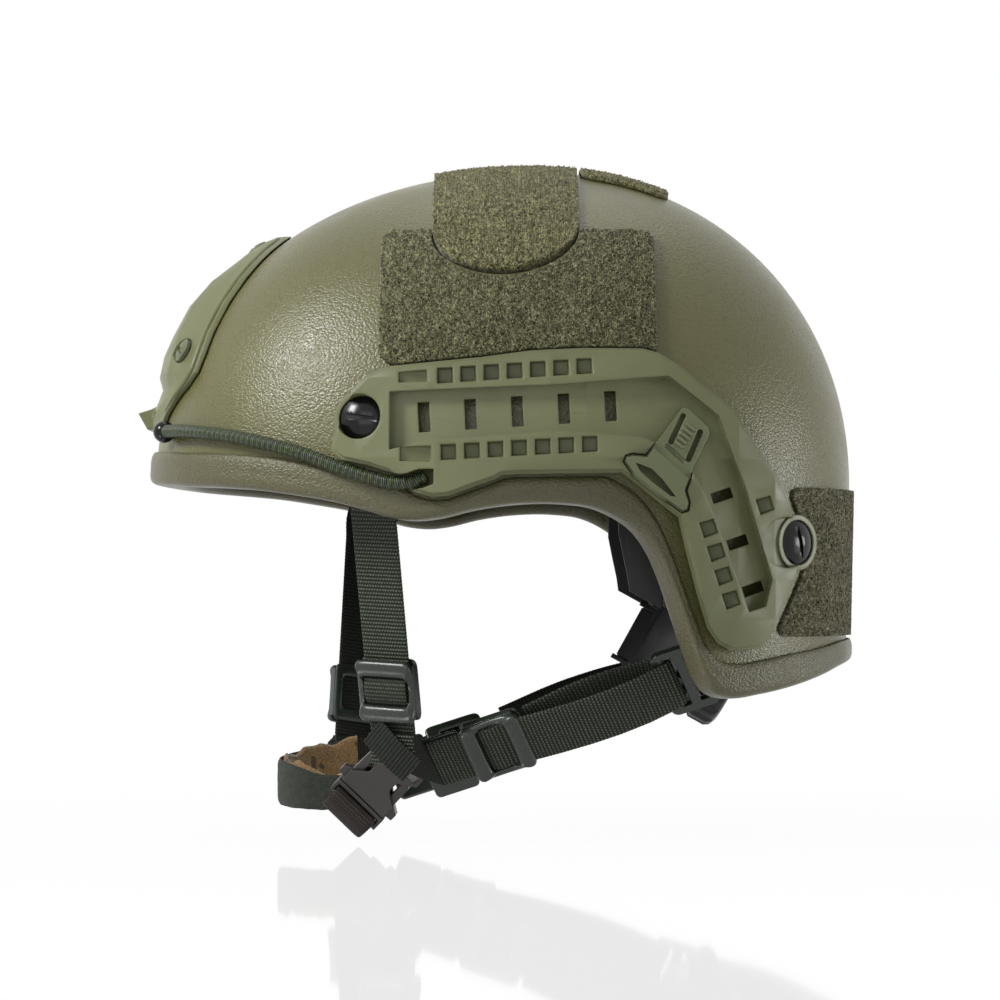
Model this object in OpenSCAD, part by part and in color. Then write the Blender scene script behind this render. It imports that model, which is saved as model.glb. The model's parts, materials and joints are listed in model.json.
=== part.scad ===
// Combat helmet with side rails, front mount plate, loop patches, padded liner and chin harness.
// The front faces -Y, the wearer's left is +X and up is +Z, in millimetres.
// The origin is the middle of the head opening, level with the edge over the ears.

/* [Shell] */
// Overall width of the bare shell
shell_w = 222; // [214:1:230]
// Reach of the shell from its widest section to the front
front_reach = 149; // [144:1:154]
// Reach of the shell from its widest section to the rear
rear_reach = 127; // [122:1:132]
// Place of the widest section, behind the origin
mid_y = 11; // [9:0.5:13]
// Height of the dome above the dome line
dome_h = 125.5; // [121:0.5:130]
// Thickness of the shell wall
wall = 8; // [7:0.25:9]
// Height of the rounded edge band
trim_h = 13; // [11:0.5:15]
// How far the edge band stands out of the shell
trim_out = 2.4; // [1.6:0.2:3]

/* [Rails] */
// Thickness of a rail under its channel
rail_floor = 6.4; // [5.5:0.1:7]
// Thickness of a rail at its flanges
rail_t = 11; // [9.5:0.25:12]
// Width of an accessory slot in the channel
slot_w = 4.2; // [3.5:0.1:5]
// Length of an accessory slot in the channel
slot_l = 11.2; // [9:0.2:12]
// Side of a square pocket in the flanges
pocket_w = 6; // [5:0.2:6.6]
// Diameter of a domed rail screw's head
screw_head_d = 16.5; // [14:0.5:17]
// Diameter of a screw's shank
screw_d = 5; // [4:0.25:6]

/* [Front plate] */
// Thickness scale of the front mount plate, 1 as photographed
plate_swell = 1; // [0.85:0.05:1.15]
// Width of the socket in the front mount plate
socket_w = 26; // [22:1:30]
// Depth of that socket under the plate's flat face
socket_depth = 4.6; // [3.4:0.2:5]

/* [Patches and cords] */
// Thickness of the loop patches
patch_t = 2.8; // [2:0.2:3.4]
// Width of the strip over the crown
crown_w = 56; // [48:1:60]
// Diameter of a bungee cord
bungee_d = 5; // [4:0.25:5.5]
// Diameter of the ball at a bungee cord's front end
ball_d = 8.6; // [8:0.2:9.4]

/* [Liner] */
// Thickness of a liner pad at its crown
pad_t = 21; // [16:1:23]
// Height of the headband
headband_h = 20; // [16:1:24]
// Thickness of the headband and the yoke plates
band_t = 2; // [1.6:0.2:2.4]

/* [Dial] */
// Diameter of the dial knob
knob_d = 38; // [34:1:42]
// Thickness of the dial knob
knob_t = 11; // [9:0.5:13]
// Downward tilt of the dial's axis
dial_tilt = 29; // [26:0.5:32]
// Radius of the toothed bands about their axis
rack_r = 90; // [88:0.5:92]
// Half the height of the toothed bands
rack_half = 11; // [10.5:0.25:11.5]

/* [Harness] */
// Width of the webbing
web_w = 20; // [18:0.5:20.5]
// Thickness of the webbing
web_t = 1.6; // [1.2:0.1:1.8]
// Width of a strap slider across the webbing
slider_w = 25; // [24.5:0.5:28]
// Length of a strap slider along the webbing
slider_l = 24.4; // [22:0.2:26]
// Height of the chin cup's band
cup_h = 18.5; // [15:0.5:21]
// Thickness of the chin cup's padded band
cup_t = 5; // [4:0.25:6]
// How far the right straps hang ahead of the left ones
right_lead = 16; // [10:1:20]
// How far the right cheek hangs below the left one
right_drop = 6; // [3:1:8]

/* [Buckle] */
// Width of the buckle's front and back plates
buckle_w = 22; // [22:0.5:25]
// Thickness of the whole buckle
buckle_t = 9; // [8:0.25:10]

/* [Hidden] */

// Clearance between a piece and the one that it lies on
seat = 0.3;
// Clearance of a sheet or rail over the shell's facets, outside and inside
skin = 0.6;
liner_gap = 1.1;
// Exponents of the shell's plan and of its upright section
plan_pow = 2.3;
dome_pow = 2.1;
// Height where the dome starts above the straight wall
dome_z = 5;
// How much the wall draws in for each millimetre below the dome line
wall_tuck = 0.00018;
// Fall of the wall for each degree of its station, used to space the rows
wall_step = 2.2;
// Rows of facets up the shell
shell_rows = 10;
$fn = 48;

// Front and rear end of the shell
front_y = mid_y - front_reach;
rear_y = mid_y + rear_reach;
// Lower edge of the edge band on one side, from the front to the rear, as y and z, on the measured shell
rim_measured = [
    [-138, 5.6], [-136.6, 5.4], [-132, 4.8], [-123, 3.9], [-110, 3.1], [-95, 1.9],
    [-80, -0.2], [-65, -2.8], [-52, -6.2], [-43, -9], [-34, -10], [-24, -9], [-12, -6.2], [4, -4],
    [22, -3.8], [34, -5.4], [43, -9.2], [50, -14], [56, -21.6], [62, -34], [68, -50], [72.5, -62],
    [76, -70], [80, -74.5], [87, -76.5], [98, -75.3], [112, -72.4], [124, -68.7], [132, -65.6],
    [136.4, -64.4], [138, -64]
];
// Between these places the edge keeps its place by the ears, and beyond them it follows the shell's ends
ear_span = [-65, 98];
function past(y, from, measured, end) = between(from, end, (y - from) / (measured - from));
function with_ends(y) = y < ear_span[0] ? past(y, ear_span[0], rim_measured[0][0], front_y)
    : y > ear_span[1] ? past(y, ear_span[1], rim_measured[len(rim_measured) - 1][0], rear_y)
    : y;
rim_line = [for (p = rim_measured) [with_ends(p[0]), p[1]]];

// Outline of a rail: its upper edge, its rear edge and its lower edge, as y and z
rail_top = [[-51, 44], [-46, 46.5], [-41, 47.5], [-8.5, 50.5], [10, 53], [29, 54], [52, 54], [58, 52.5]];
rail_back = [[106, 2], [112, -13.5], [113.5, -22], [111, -31], [103, -48], [99, -55]];
rail_foot = [[96, -58], [85, -58.5], [80, -56], [76, -50], [72, -37], [67.5, -20], [65, -9]];
rail_low = [
    [44, 7.5], [5.5, 7], [-0.5, 6.5], [-3, 5], [-9, 3], [-20, -1], [-26, -1.5], [-33, 0.5],
    [-43, 8], [-50.5, 10.5], [-60, 12.5]
];
rail_nose = [[-64, 16], [-63.5, 21], [-60, 33.5], [-55.5, 39.5]];
rail_outline = concat(rail_nose, rail_top, [[64, 49], [86, 32], [90, 25.5]], rail_back, rail_foot, rail_low);
rail_low_y = [-50, 44];
function rail_low_at(y) = lookup(y, [for (i = [len(rail_low) - 1:-1:0]) rail_low[i]]);
// Outline of the recessed channel in a rail
channel_outline = [
    [-42, 37.5], [21, 40], [61.5, 43.5], [80, 29], [90, 2.5], [100.5, -32], [98, -42], [91.5, -44],
    [76, -3], [70, 8], [57.5, 18], [51.5, 20.5], [21, 23], [-27.5, 19.5], [-42, 16]
];
// Rows of slots and pockets in a rail: first place, last place and how many
arm_slots = [[-29.3, 28.1], [39.7, 32.2], 5];
leg_slots = [[81.4, -0.7], [93.4, -35.5], 3];
upper_pockets = [[-21.5, 43.5], [30, 46.9], 7];
lower_pockets = [[-20.2, 15], [31.9, 17.9], 7];
leg_pockets = [[76.2, -12.9], [84.8, -39.4], 4];
// Lean of the rail's rear leg
leg_lean = 18.4;
// Places of the rail screws
front_screw = [-51, 27];
rear_screw = [106.5, -18];

// Outlines of the rail clip: its comb plate with the pull ring, the ring alone, and the ring's hole
clip_plate = [[57.8, 20.2], [66.4, 31.8], [68.5, 31.5], [76.2, 24.5], [76.6, 22], [70.2, 9.6]];
clip_ring = [
    [69.4, 5.6], [67.6, 1], [68.9, -3.5], [68.4, -6.4], [66, -7.2], [62.3, -4.6], [54.7, 0.6], [48, 6.2],
    [44.4, 11.5], [45.2, 13.6], [47.6, 14.3], [52.8, 13.8], [55.5, 17.6]
];
clip_hole = [[48.8, 11], [54.6, 8.9], [59, 4.6], [63.6, -1.4], [61.8, -1.2], [54.6, 4.2], [50.4, 8]];
clip_slots = [[[62, 19], [66.6, 28.6]], [[68.6, 12.6], [73, 22.6]]];
clip_ribs = [[65, 18], [69.6, 24.4], 5];

// Half the width of the front plate at each height, and its thickness there
plate_half = [
    [27.5, 33], [33, 38], [39, 45], [43, 50], [48, 53], [56, 51.5], [64, 48], [76, 42], [86, 35.5],
    [93, 29], [98, 23], [102, 17], [104.5, 11]
];
plate_thick = [
    [27.5, 3], [33, 4.4], [39, 3.4], [43, 3.2], [48, 6], [56, 7.4], [64, 7.8], [76, 8.6], [86, 7.8],
    [93, 6], [98, 5.4], [102, 4.8], [104.5, 3.6]
];
face_high = 6.8;
// Section of the plate's lower lip, its y from the shell's front end, and half its width
plate_lip = [[1.4, 37], [-1.6, 35.6], [-6.6, 34], [-3, 27.6], [0.6, 28.2]];
lip_half = 14;
// Vents beside the lip: their ends, height, radius and how far behind the front end they start
vent_x = [18, 26];
vent_z = 33;
vent_r = 1.4;
vent_back = 18;
plate_screws = [[40, 55], [-40, 55], [0, 96]];

// Centreline of a bungee cord, from the ball by the front plate to the rail's lower slot
bungee_route = [
    [51.5, -129.8, 25.4], [60.6, -124, 25.2], [73.3, -113.4, 23.9], [84, -101.5, 22], [93.6, -87.9, 18.8],
    [100.6, -74.7, 15], [106.4, -62, 10.2], [110.4, -50, 6.2], [112.8, -39.5, 3.8], [113.8, -33, 4.4],
    [114.2, -28.5, 6]
];
ball_place = [45.1, 24.8];
// How far the shell's facets lie inside its curve under a ball
ball_dip = 0.75;

// Ends of the loop patches on the shell
side_patch_y = [-46.5, 57.5];
side_patch_z = [48.6, 101.5];
crown_mid_y = 1;
crown_reach = [73, 16];
crown_rear_y = [30.5, 65];
crown_rear_half = 32;
rear_patch_z = [-53.5, 3];

// Spans of the liner pads
pad_crown_half = [40, 48];
pad_crown_y = 7;
pad_front_half = 46;
pad_front_z = [19, 44];
pad_rear_half = 44;
pad_rear_z = [-8, 46];
pad_side_y = [-35, 35];
pad_side_z = [8.5, 46];
headband_z = 6;
headband_turn = 24;

// Centre of the toothed bands' circle, further ahead and up for a larger radius, as the dial keeps its place
dial_y = 88.5 - rack_r;
dial_z = rack_r / 2 - 68;
rack_t = 2;
tooth_module = 1;
pinion_teeth = 12;
pitch_r = tooth_module * pinion_teeth / 2;
rack_mid = rack_r + rack_t / 2;
tooth_turn = 180 * tooth_module / rack_mid;
// Radius on which the bands and their guides were set out, so they keep their length along the circle
guide_base = 90;
band_front = 46.5 * guide_base / rack_r;
band_wide = 31;
band_tail = 3.6;
rack_count = 10;
box_turn = 18;
box_half = rack_half + 3;
box_in = 2.4;
box_out = 3;
shaft_r = 3;
knob_gap = 0.4;
yoke_guide = [31, 47.5] * guide_base / rack_r;
// Rivets near the headband's rear ends
rivet_place = [mid_y + rear_reach / 2 - 24, 16];
// Yoke plates: their place across, their edges from the headband down, and their feet's reach to the guide
yoke_x = 67.6;
yoke_front = [
    [rivet_place.x + 6.5, 24], [rivet_place.x - 6, 24], [rivet_place.x - 6.5, -14], [46, -24], [47.5, -31]
];
yoke_back = [[62, -30], [60, -10]];
yoke_foot = [for (reach = [50, 64]) reach + (rack_r - guide_base) * 4 / 3];
rivet_r = 2;
rivet_head = 1.2;

// Way of the front strap below the shell, as the left side's points
rim_pass = [-49, -6];
strap_inset = 9.5;
front_end = [66, -42, -90];
front_slider_way = 70;
right_slider_way = 76;
// Way of the rear strap from the cheek to its ring
rear_start = [55, -26, -103];
rear_end = [75, 63, -73];
rear_slider_way = 26;
ring_bar_r = 2.2;
ring_slot = 11;
ring_l = 19.6;
keeper_t = 1.8;
strap_turn = 30;
rear_roll = 26;
anchor_r = 8;
anchor_t = 3;
anchor_drop = 14;
// Depth of the flat seat for a nut in the inside of the wall
seat_depth = 0.8;

// Chin cup's band from the left end round the front to the right end, with its height there as a share
cup_route = [
    [32.5, -51, -111.6, 0.6], [30.5, -59, -113.6, 0.7], [27, -69, -115, 0.8], [21.5, -79, -113.5, 0.95],
    [12, -85.5, -112.2, 1], [0, -87.5, -111.6, 1], [-12, -86, -111, 1], [-23, -80, -109.5, 1],
    [-30, -70, -107, 1], [-34, -60, -104.5, 0.95]
];

// Buckle's middle, the direction towards the cheek and the direction across it
buckle_mid = [46, -47.5, -109.2];
buckle_up = unit([0.25, 0.68, 0.69]);
buckle_side = unit([-0.05, 0.714, -0.69]);
mouth = -9.5;
plug_end = -14.4;
socket_end = 13.4;
bar_slot_h = 3;
prong_w = 3.4;
prong_t = 4.6;
fit = 0.4;

function unit(v) = v / norm(v);
function flip(p) = [-p.x, p.y, p.z];
function between(a, b, t) = a + (b - a) * t;
function along(row, i) = between(row[0], row[1], i / (row[2] - 1));
function spow(v, e) = sign(v) * pow(abs(v), e);

// Shell surface, all at an offset from the bare shell's outer face
function half_w(off) = shell_w / 2 + off;
function half_l(y, off) = (y < mid_y ? front_reach : rear_reach) + off;
function level(z, off) = z > dome_z
    ? pow(max(0, 1 - pow((z - dome_z) / (dome_h + off), dome_pow)), 1 / dome_pow)
    : 1 - wall_tuck * (dome_z - z);
function rest_of(z, share, off) =
    pow(max(0, pow(level(z, off), plan_pow) - pow(share, plan_pow)), 1 / plan_pow);
function side_x(y, z, off) = half_w(off) * rest_of(z, abs(y - mid_y) / half_l(y, off), off);
function end_y(x, z, off, rear) = mid_y
    + (rear ? rear_reach + off : -front_reach - off) * rest_of(z, abs(x) / half_w(off), off);
function plan_share(x, y, off) = pow(
    pow(abs(x) / half_w(off), plan_pow) + pow(abs(y - mid_y) / half_l(y, off), plan_pow), 1 / plan_pow);
function top_z(x, y, off) = dome_z
    + (dome_h + off) * pow(max(0, 1 - pow(plan_share(x, y, off), dome_pow)), 1 / dome_pow);
function side_point(y, z, off) = [side_x(y, z, off), y, z];
function front_point(x, z, off) = [x, end_y(x, z, off, false), z];
function outward(p) = let(
    ax = abs(p.x) / half_w(0),
    ay = abs(p.y - mid_y) / half_l(p.y, 0),
    az = max(0, (p.z - dome_z) / dome_h),
    k = pow(pow(pow(ax, plan_pow) + pow(ay, plan_pow), 1 / plan_pow), dome_pow - plan_pow)
) unit([
    k * pow(ax, plan_pow - 1) * sign(p.x) / half_w(0),
    k * pow(ay, plan_pow - 1) * sign(p.y - mid_y) / half_l(p.y, 0),
    pow(az, dome_pow - 1) / dome_h
]);

// Stations round the shell, as the plan direction and the height of the edge there
function plan_dir(y) = let(c = (y - mid_y) / half_l(y, 0))
    [pow(max(0, 1 - pow(abs(c), plan_pow)), 1 / plan_pow), c];
rim_side = [for (p = rim_line) [plan_dir(p[0]).x, plan_dir(p[0]).y, p[1]]];
rim_count = len(rim_side);
stations = concat(rim_side, [for (i = [rim_count - 2:-1:1]) [-rim_side[i].x, rim_side[i].y, rim_side[i].z]]);
function station_point(s, r, z, off) = [
    half_w(off) * r * s.x,
    mid_y + ((s.y < 0 ? front_reach : rear_reach) + off) * r * s.y,
    z
];
function rise_of(z) = z > dome_z ? asin(pow((z - dome_z) / dome_h, dome_pow / 2)) : (z - dome_z) / wall_step;
function rise_z(e, off) = dome_z + (e > 0 ? (dome_h + off) * pow(sin(e), 2 / dome_pow) : e * wall_step);
function rise_r(e) = e > 0 ? pow(cos(e), 2 / dome_pow) : 1 + wall_tuck * e * wall_step;
function shell_ring(k, off) = [
    for (s = stations)
        let(e = between(rise_of(s.z + seat * 8), 90, k / shell_rows))
            station_point(s, rise_r(e), rise_z(e, off), off)
];

// Faces of a quadrilateral as two triangles, turned over when asked
function quad(a, b, c, d, over) = over ? [[a, c, b], [a, d, c]] : [[a, b, c], [a, c, d]];

// Closed solid between two grids of points of the same shape
module slab(outer, inner) {
    rows = len(outer);
    cols = len(outer[0]);
    count = rows * cols;
    mi = floor(rows / 2) - 1;
    mj = floor(cols / 2) - 1;
    over = cross(outer[mi][mj + 1] - outer[mi][mj], outer[mi + 1][mj + 1] - outer[mi][mj])
        * (outer[mi][mj] - inner[mi][mj]) > 0;
    function at(i, j, s) = s * count + i * cols + j;
    last = cols - 1;
    end = rows - 1;
    faces = concat(
        [for (i = [0:rows - 2], j = [0:cols - 2])
            each quad(at(i, j, 0), at(i, j + 1, 0), at(i + 1, j + 1, 0), at(i + 1, j, 0), over)],
        [for (i = [0:rows - 2], j = [0:cols - 2])
            each quad(at(i, j, 1), at(i + 1, j, 1), at(i + 1, j + 1, 1), at(i, j + 1, 1), over)],
        [for (i = [0:rows - 2]) each quad(at(i, 0, 0), at(i + 1, 0, 0), at(i + 1, 0, 1), at(i, 0, 1), over)],
        [for (i = [0:rows - 2])
            each quad(at(i, last, 0), at(i, last, 1), at(i + 1, last, 1), at(i + 1, last, 0), over)],
        [for (j = [0:cols - 2]) each quad(at(0, j, 0), at(0, j, 1), at(0, j + 1, 1), at(0, j + 1, 0), over)],
        [for (j = [0:cols - 2])
            each quad(at(end, j, 0), at(end, j + 1, 0), at(end, j + 1, 1), at(end, j, 1), over)]
    );
    polyhedron(concat([for (r = outer) each r], [for (r = inner) each r]), faces);
}

// Closed solid through a list of rings, ended by two tip points or joined round to its start
module loft(rings, tips = []) {
    m = len(rings);
    n = len(rings[0]);
    wrap = len(tips) == 0;
    mean = [for (k = [0:2]) [for (p = rings[1]) p[k]] * [for (p = rings[1]) 1 / n]];
    over = cross(rings[1][1] - rings[1][0], rings[2][1] - rings[1][0]) * (rings[1][0] - mean) > 0;
    function at(i, j) = (i % m) * n + j % n;
    sides = [
        for (i = [0:m - (wrap ? 1 : 2)], j = [0:n - 1])
            each quad(at(i, j), at(i, j + 1), at(i + 1, j + 1), at(i + 1, j), over)
    ];
    caps = wrap ? [] : concat(
        [for (j = [0:n - 1]) over ? [m * n, at(0, j), at(0, j + 1)] : [m * n, at(0, j + 1), at(0, j)]],
        [for (j = [0:n - 1])
            over ? [m * n + 1, at(m - 1, j + 1), at(m - 1, j)] : [m * n + 1, at(m - 1, j), at(m - 1, j + 1)]]
    );
    polyhedron(concat([for (r = rings) each r], tips), concat(sides, caps));
}

// Flat webbing along a list of points, its width laid along one direction for each point
module ribbon(points, widths, w = web_w, t = web_t) {
    last = len(points) - 1;
    function run(i) = unit(points[min(last, i + 1)] - points[max(0, i - 1)]);
    function across(i) = let(d = widths[min(i, len(widths) - 1)]) unit(d - run(i) * (d * run(i)));
    function out(i) = cross(run(i), across(i));
    slab(
        [for (i = [0:last]) [for (s = [-1, 1]) points[i] + across(i) * s * w / 2 + out(i) * t / 2]],
        [for (i = [0:last]) [for (s = [-1, 1]) points[i] + across(i) * s * w / 2 - out(i) * t / 2]]
    );
}

// Frame with its third axis along the shell's outward direction and its first one downwards
module on_surface(p) {
    n = outward(p);
    translate(p)
        rotate([0, acos(n.z), atan2(n.y, n.x)])
            children();
}

// Frame given by a place and by its first two axes
module placed(p, a, b) {
    c = cross(a, b);
    multmatrix([[a.x, b.x, c.x, p.x], [a.y, b.y, c.y, p.y], [a.z, b.z, c.z, p.z], [0, 0, 0, 1]])
        children();
}

module block(size, at = [0, 0, 0]) {
    translate(at - size / 2)
        cube(size);
}

module rounded(w, h, r) {
    square([w - 2 * r, h], center = true);
    square([w, h - 2 * r], center = true);
    for (x = [-1, 1], y = [-1, 1])
        translate([x * (w / 2 - r), y * (h / 2 - r)])
            circle(r, $fn = 24);
}

module both_sides() {
    children();
    mirror([1, 0, 0])
        children();
}

// Shell and edge band

module screw_hole(p, r) {
    on_surface(p)
        hull() {
            translate([0, 0, -wall - 6])
                cylinder(r = r, h = wall, $fn = 16);
            translate([0, 0, 4])
                cylinder(r = r, h = 4, $fn = 16);
        }
}

module nut_seat(p, r) {
    on_surface(p)
        hull()
            translate([0, 0, -wall - 6])
                cylinder(r = r, h = 6 + seat_depth, $fn = 16);
}

module shell() {
    outer = [for (k = [shell_rows - 1:-1:0]) shell_ring(k, 0)];
    inner = [for (k = [0:shell_rows - 1]) shell_ring(k, -wall)];
    color("#6f6b4c")
        difference() {
            loft(concat(outer, inner), [[0, mid_y, dome_z + dome_h], [0, mid_y, dome_z + dome_h - wall]]);
            for (s = [1, -1], q = [front_screw, rear_screw]) {
                p = side_point(q.x, q.y, 0);
                screw_hole([s * p.x, p.y, p.z], screw_d / 2 + seat);
                nut_seat([s * p.x, p.y, p.z], anchor_r + 1);
            }
            for (q = plate_screws) {
                screw_hole(front_point(q.x, q.y, 0), screw_d / 2 + seat);
                nut_seat(front_point(q.x, q.y, 0), anchor_r - 1);
            }
        }
}

// Height of the edge band, lower under the rails' lower edges and towards the rear
function trim_high(s) = let(
    y = mid_y + s.y * (s.y < 0 ? front_reach : rear_reach),
    room = y > rail_low_y[0] && y < rail_low_y[1] ? rail_low_at(y) - s.z - 4 * seat : trim_h
) min(trim_h * between(1, 0.7, max(0, (y - 110) / 28)), room);

module edge_trim() {
    // Offset from the shell's outer face and height over the band's lower edge, round the band's section
    function section(h) = [
        [seat, h - 0.6], [trim_out * 0.45, h], [trim_out, h - 3.2], [trim_out, 3.2],
        [trim_out * 0.55, 1], [-1.5, 0], [seat - wall, 0], [-wall - trim_out * 0.7, 2.6],
        [-wall - trim_out * 0.7, h - 3.2], [-wall - skin, h - 1.2], [-wall - skin, 2.1], [seat, 2.1]
    ];
    color("#6b6747")
        loft([
            for (s = stations) [
                for (q = section(trim_high(s)))
                    let(z = s.z + q[1])
                        station_point(s, level(z, q[0]), z, q[0])
            ]
        ]);
}

// Rails with their clips, screws and nuts

// Layer of the near side between two offsets over a window of y and z
module side_layer(low, high, y_span, z_span, step) {
    ny = ceil((y_span[1] - y_span[0]) / step);
    nz = ceil((z_span[1] - z_span[0]) / step);
    function sheet(off) = [
        for (i = [0:ny]) [
            for (j = [0:nz])
                side_point(between(y_span[0], y_span[1], i / ny), between(z_span[0], z_span[1], j / nz), off)
        ]
    ];
    slab(sheet(high), sheet(low));
}

module sideways(outline_depth = 90) {
    translate([50, 0, 0])
        rotate([90, 0, 90])
            linear_extrude(outline_depth)
                children();
}

module pocket(q, deep, w = pocket_w, h = pocket_w, lean = 0) {
    x = side_x(q.x, q.y, rail_t);
    translate([x - deep, q.x, q.y])
        rotate([lean, 0, 0])
            hull() {
                block([1, w - 1.2, h - 1.2], [0.5, 0, 0]);
                block([1, w + 0.4, h + 0.4], [deep + 2, 0, 0]);
            }
}

module slot(q, lean = 0, w = slot_w, l = slot_l) {
    translate([0, q.x, q.y])
        rotate([lean, 0, 0])
            hull() {
                block([1, w, l], [50, 0, 0]);
                block([1, w, l], [140, 0, 0]);
            }
}

module clip_outline() {
    polygon(concat(clip_plate, clip_ring));
}

module rail_screw_point(q) {
    on_surface(side_point(q.x, q.y, 0))
        children();
}

module rail() {
    window_y = [-68, 116];
    window_z = [-62, 58];
    head_r = screw_head_d / 2 + seat;
    groove = bungee_d + 2 * seat;
    difference() {
        union() {
            intersection() {
                side_layer(skin, rail_floor, window_y, window_z, 15);
                sideways()
                    polygon(rail_outline);
            }
            intersection() {
                side_layer(rail_floor - 0.5, rail_t, window_y, window_z, 15);
                sideways()
                    difference() {
                        offset(delta = -1.2)
                            polygon(rail_outline);
                        polygon(channel_outline);
                        offset(delta = fit)
                            clip_outline();
                        translate(rear_screw)
                            circle(head_r + 1, $fn = 32);
                    }
            }
            for (q = [front_screw, rear_screw])
                rail_screw_point(q)
                    translate([0, 0, rail_floor - 3])
                        cylinder(r = head_r + 2, h = 3.6, $fn = 32);
        }
        for (q = [front_screw, rear_screw])
            rail_screw_point(q) {
                translate([0, 0, rail_floor - 1.6])
                    cylinder(r = head_r, h = 12, $fn = 32);
                translate([0, 0, -4])
                    cylinder(r = screw_d / 2 + seat, h = 14, $fn = 20);
            }
        for (i = [0:arm_slots[2] - 1])
            slot(along(arm_slots, i), 3);
        for (i = [0:leg_slots[2] - 1])
            slot(along(leg_slots, i), leg_lean, slot_l * 0.72, slot_w * 0.95);
        for (row = [upper_pockets, lower_pockets], i = [0:row[2] - 1])
            pocket(along(row, i), 4.5, lean = 2);
        for (i = [0:leg_pockets[2] - 1])
            pocket(along(leg_pockets, i), 4.5, lean = leg_lean);
        pocket([97.9, -4.1], 4.5, lean = leg_lean);
        pocket([-33.5, 43.2], 2.4, 11, 4.6, 3);
        pocket([-32.5, 14.4], 2.4, 12, 6, 0);
        // Way of the bungee cord into the lower flange
        for (i = [7:9])
            hull()
                for (p = [bungee_route[i], bungee_route[i + 1]])
                    translate(p)
                        block([30, groove, groove], [15 - groove / 2, 0, 0]);
    }
}

module rail_left() {
    color("#69704a")
        rail();
}

module rail_right() {
    color("#69704a")
        mirror([1, 0, 0])
            rail();
}

module rail_clip() {
    top = rail_floor + 3.2;
    difference() {
        union() {
            intersection() {
                side_layer(rail_floor + seat, top, [40, 80], [-12, 36], 10);
                sideways()
                    clip_outline();
            }
            intersection() {
                side_layer(top - 0.5, rail_t + 1.4, [40, 80], [-12, 36], 10);
                sideways()
                    offset(delta = -0.7)
                        polygon(clip_ring);
            }
            // Plain raised ribs on the comb plate
            for (i = [0:clip_ribs[2] - 1]) {
                q = along(clip_ribs, i);
                hull()
                    for (e = [-1.9, 1.9])
                        translate([side_x(q.x, q.y, top) - 1, q.x + e * 0.78, q.y - e * 0.62])
                            block([3.4, 0.9, 0.9]);
            }
        }
        sideways()
            polygon(clip_hole);
        for (q = clip_slots)
            hull()
                for (e = q)
                    translate([60, e.x, e.y])
                        rotate([0, 90, 0])
                            cylinder(r = 1.1, h = 80, $fn = 12);
        // Groove between the comb plate and the ring
        hull()
            for (q = [[60.4, 17.4], [67, 11.6]])
                translate([side_x(q.x, q.y, top), q.x, q.y])
                    block([2.4, 1.2, 1.2]);
    }
}

module rail_clip_left() {
    color("#667048")
        rail_clip();
}

module rail_clip_right() {
    color("#667048")
        mirror([1, 0, 0])
            rail_clip();
}

// Domed screw whose head stands on the height given, with a shank down through the wall
module screw(head_r, stand, slot_turn) {
    dome = head_r * 0.26;
    ball = (head_r * head_r + dome * dome) / (2 * dome);
    difference() {
        union() {
            translate([0, 0, stand])
                cylinder(r = head_r, h = 1.4);
            intersection() {
                translate([0, 0, stand + 1.4 + dome - ball])
                    sphere(ball, $fn = 96);
                translate([0, 0, stand + 1])
                    cylinder(r = head_r, h = dome + 2);
            }
            translate([0, 0, -wall - 6])
                cylinder(r = screw_d / 2, h = wall + 6.5 + stand);
        }
        rotate(slot_turn)
            block([head_r * 1.5, 1.8, 3], [0, 0, stand + dome + 1.6]);
    }
}

// Hexagonal nut whose upper face lies this far below the wall's inner face
module nut(depth) {
    tall = 3;
    difference() {
        translate([0, 0, -wall - depth - tall])
            cylinder(r = 5.8, h = tall, $fn = 6);
        translate([0, 0, -wall - depth - tall - 1])
            cylinder(r = screw_d / 2 + 0.1, h = tall + 2);
    }
}

module rail_screws() {
    color("#1c1c1c")
        both_sides()
            for (q = [[front_screw, 84], [rear_screw, 12]])
                rail_screw_point(q[0])
                    screw(screw_head_d / 2, rail_floor - 1.3, q[1]);
}

module rail_nuts() {
    color("#2a2a2a")
        both_sides()
            for (q = [front_screw, rear_screw])
                rail_screw_point(q)
                    nut(anchor_t + seat - seat_depth);
}

// Front mount plate with its screws and nuts

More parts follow.
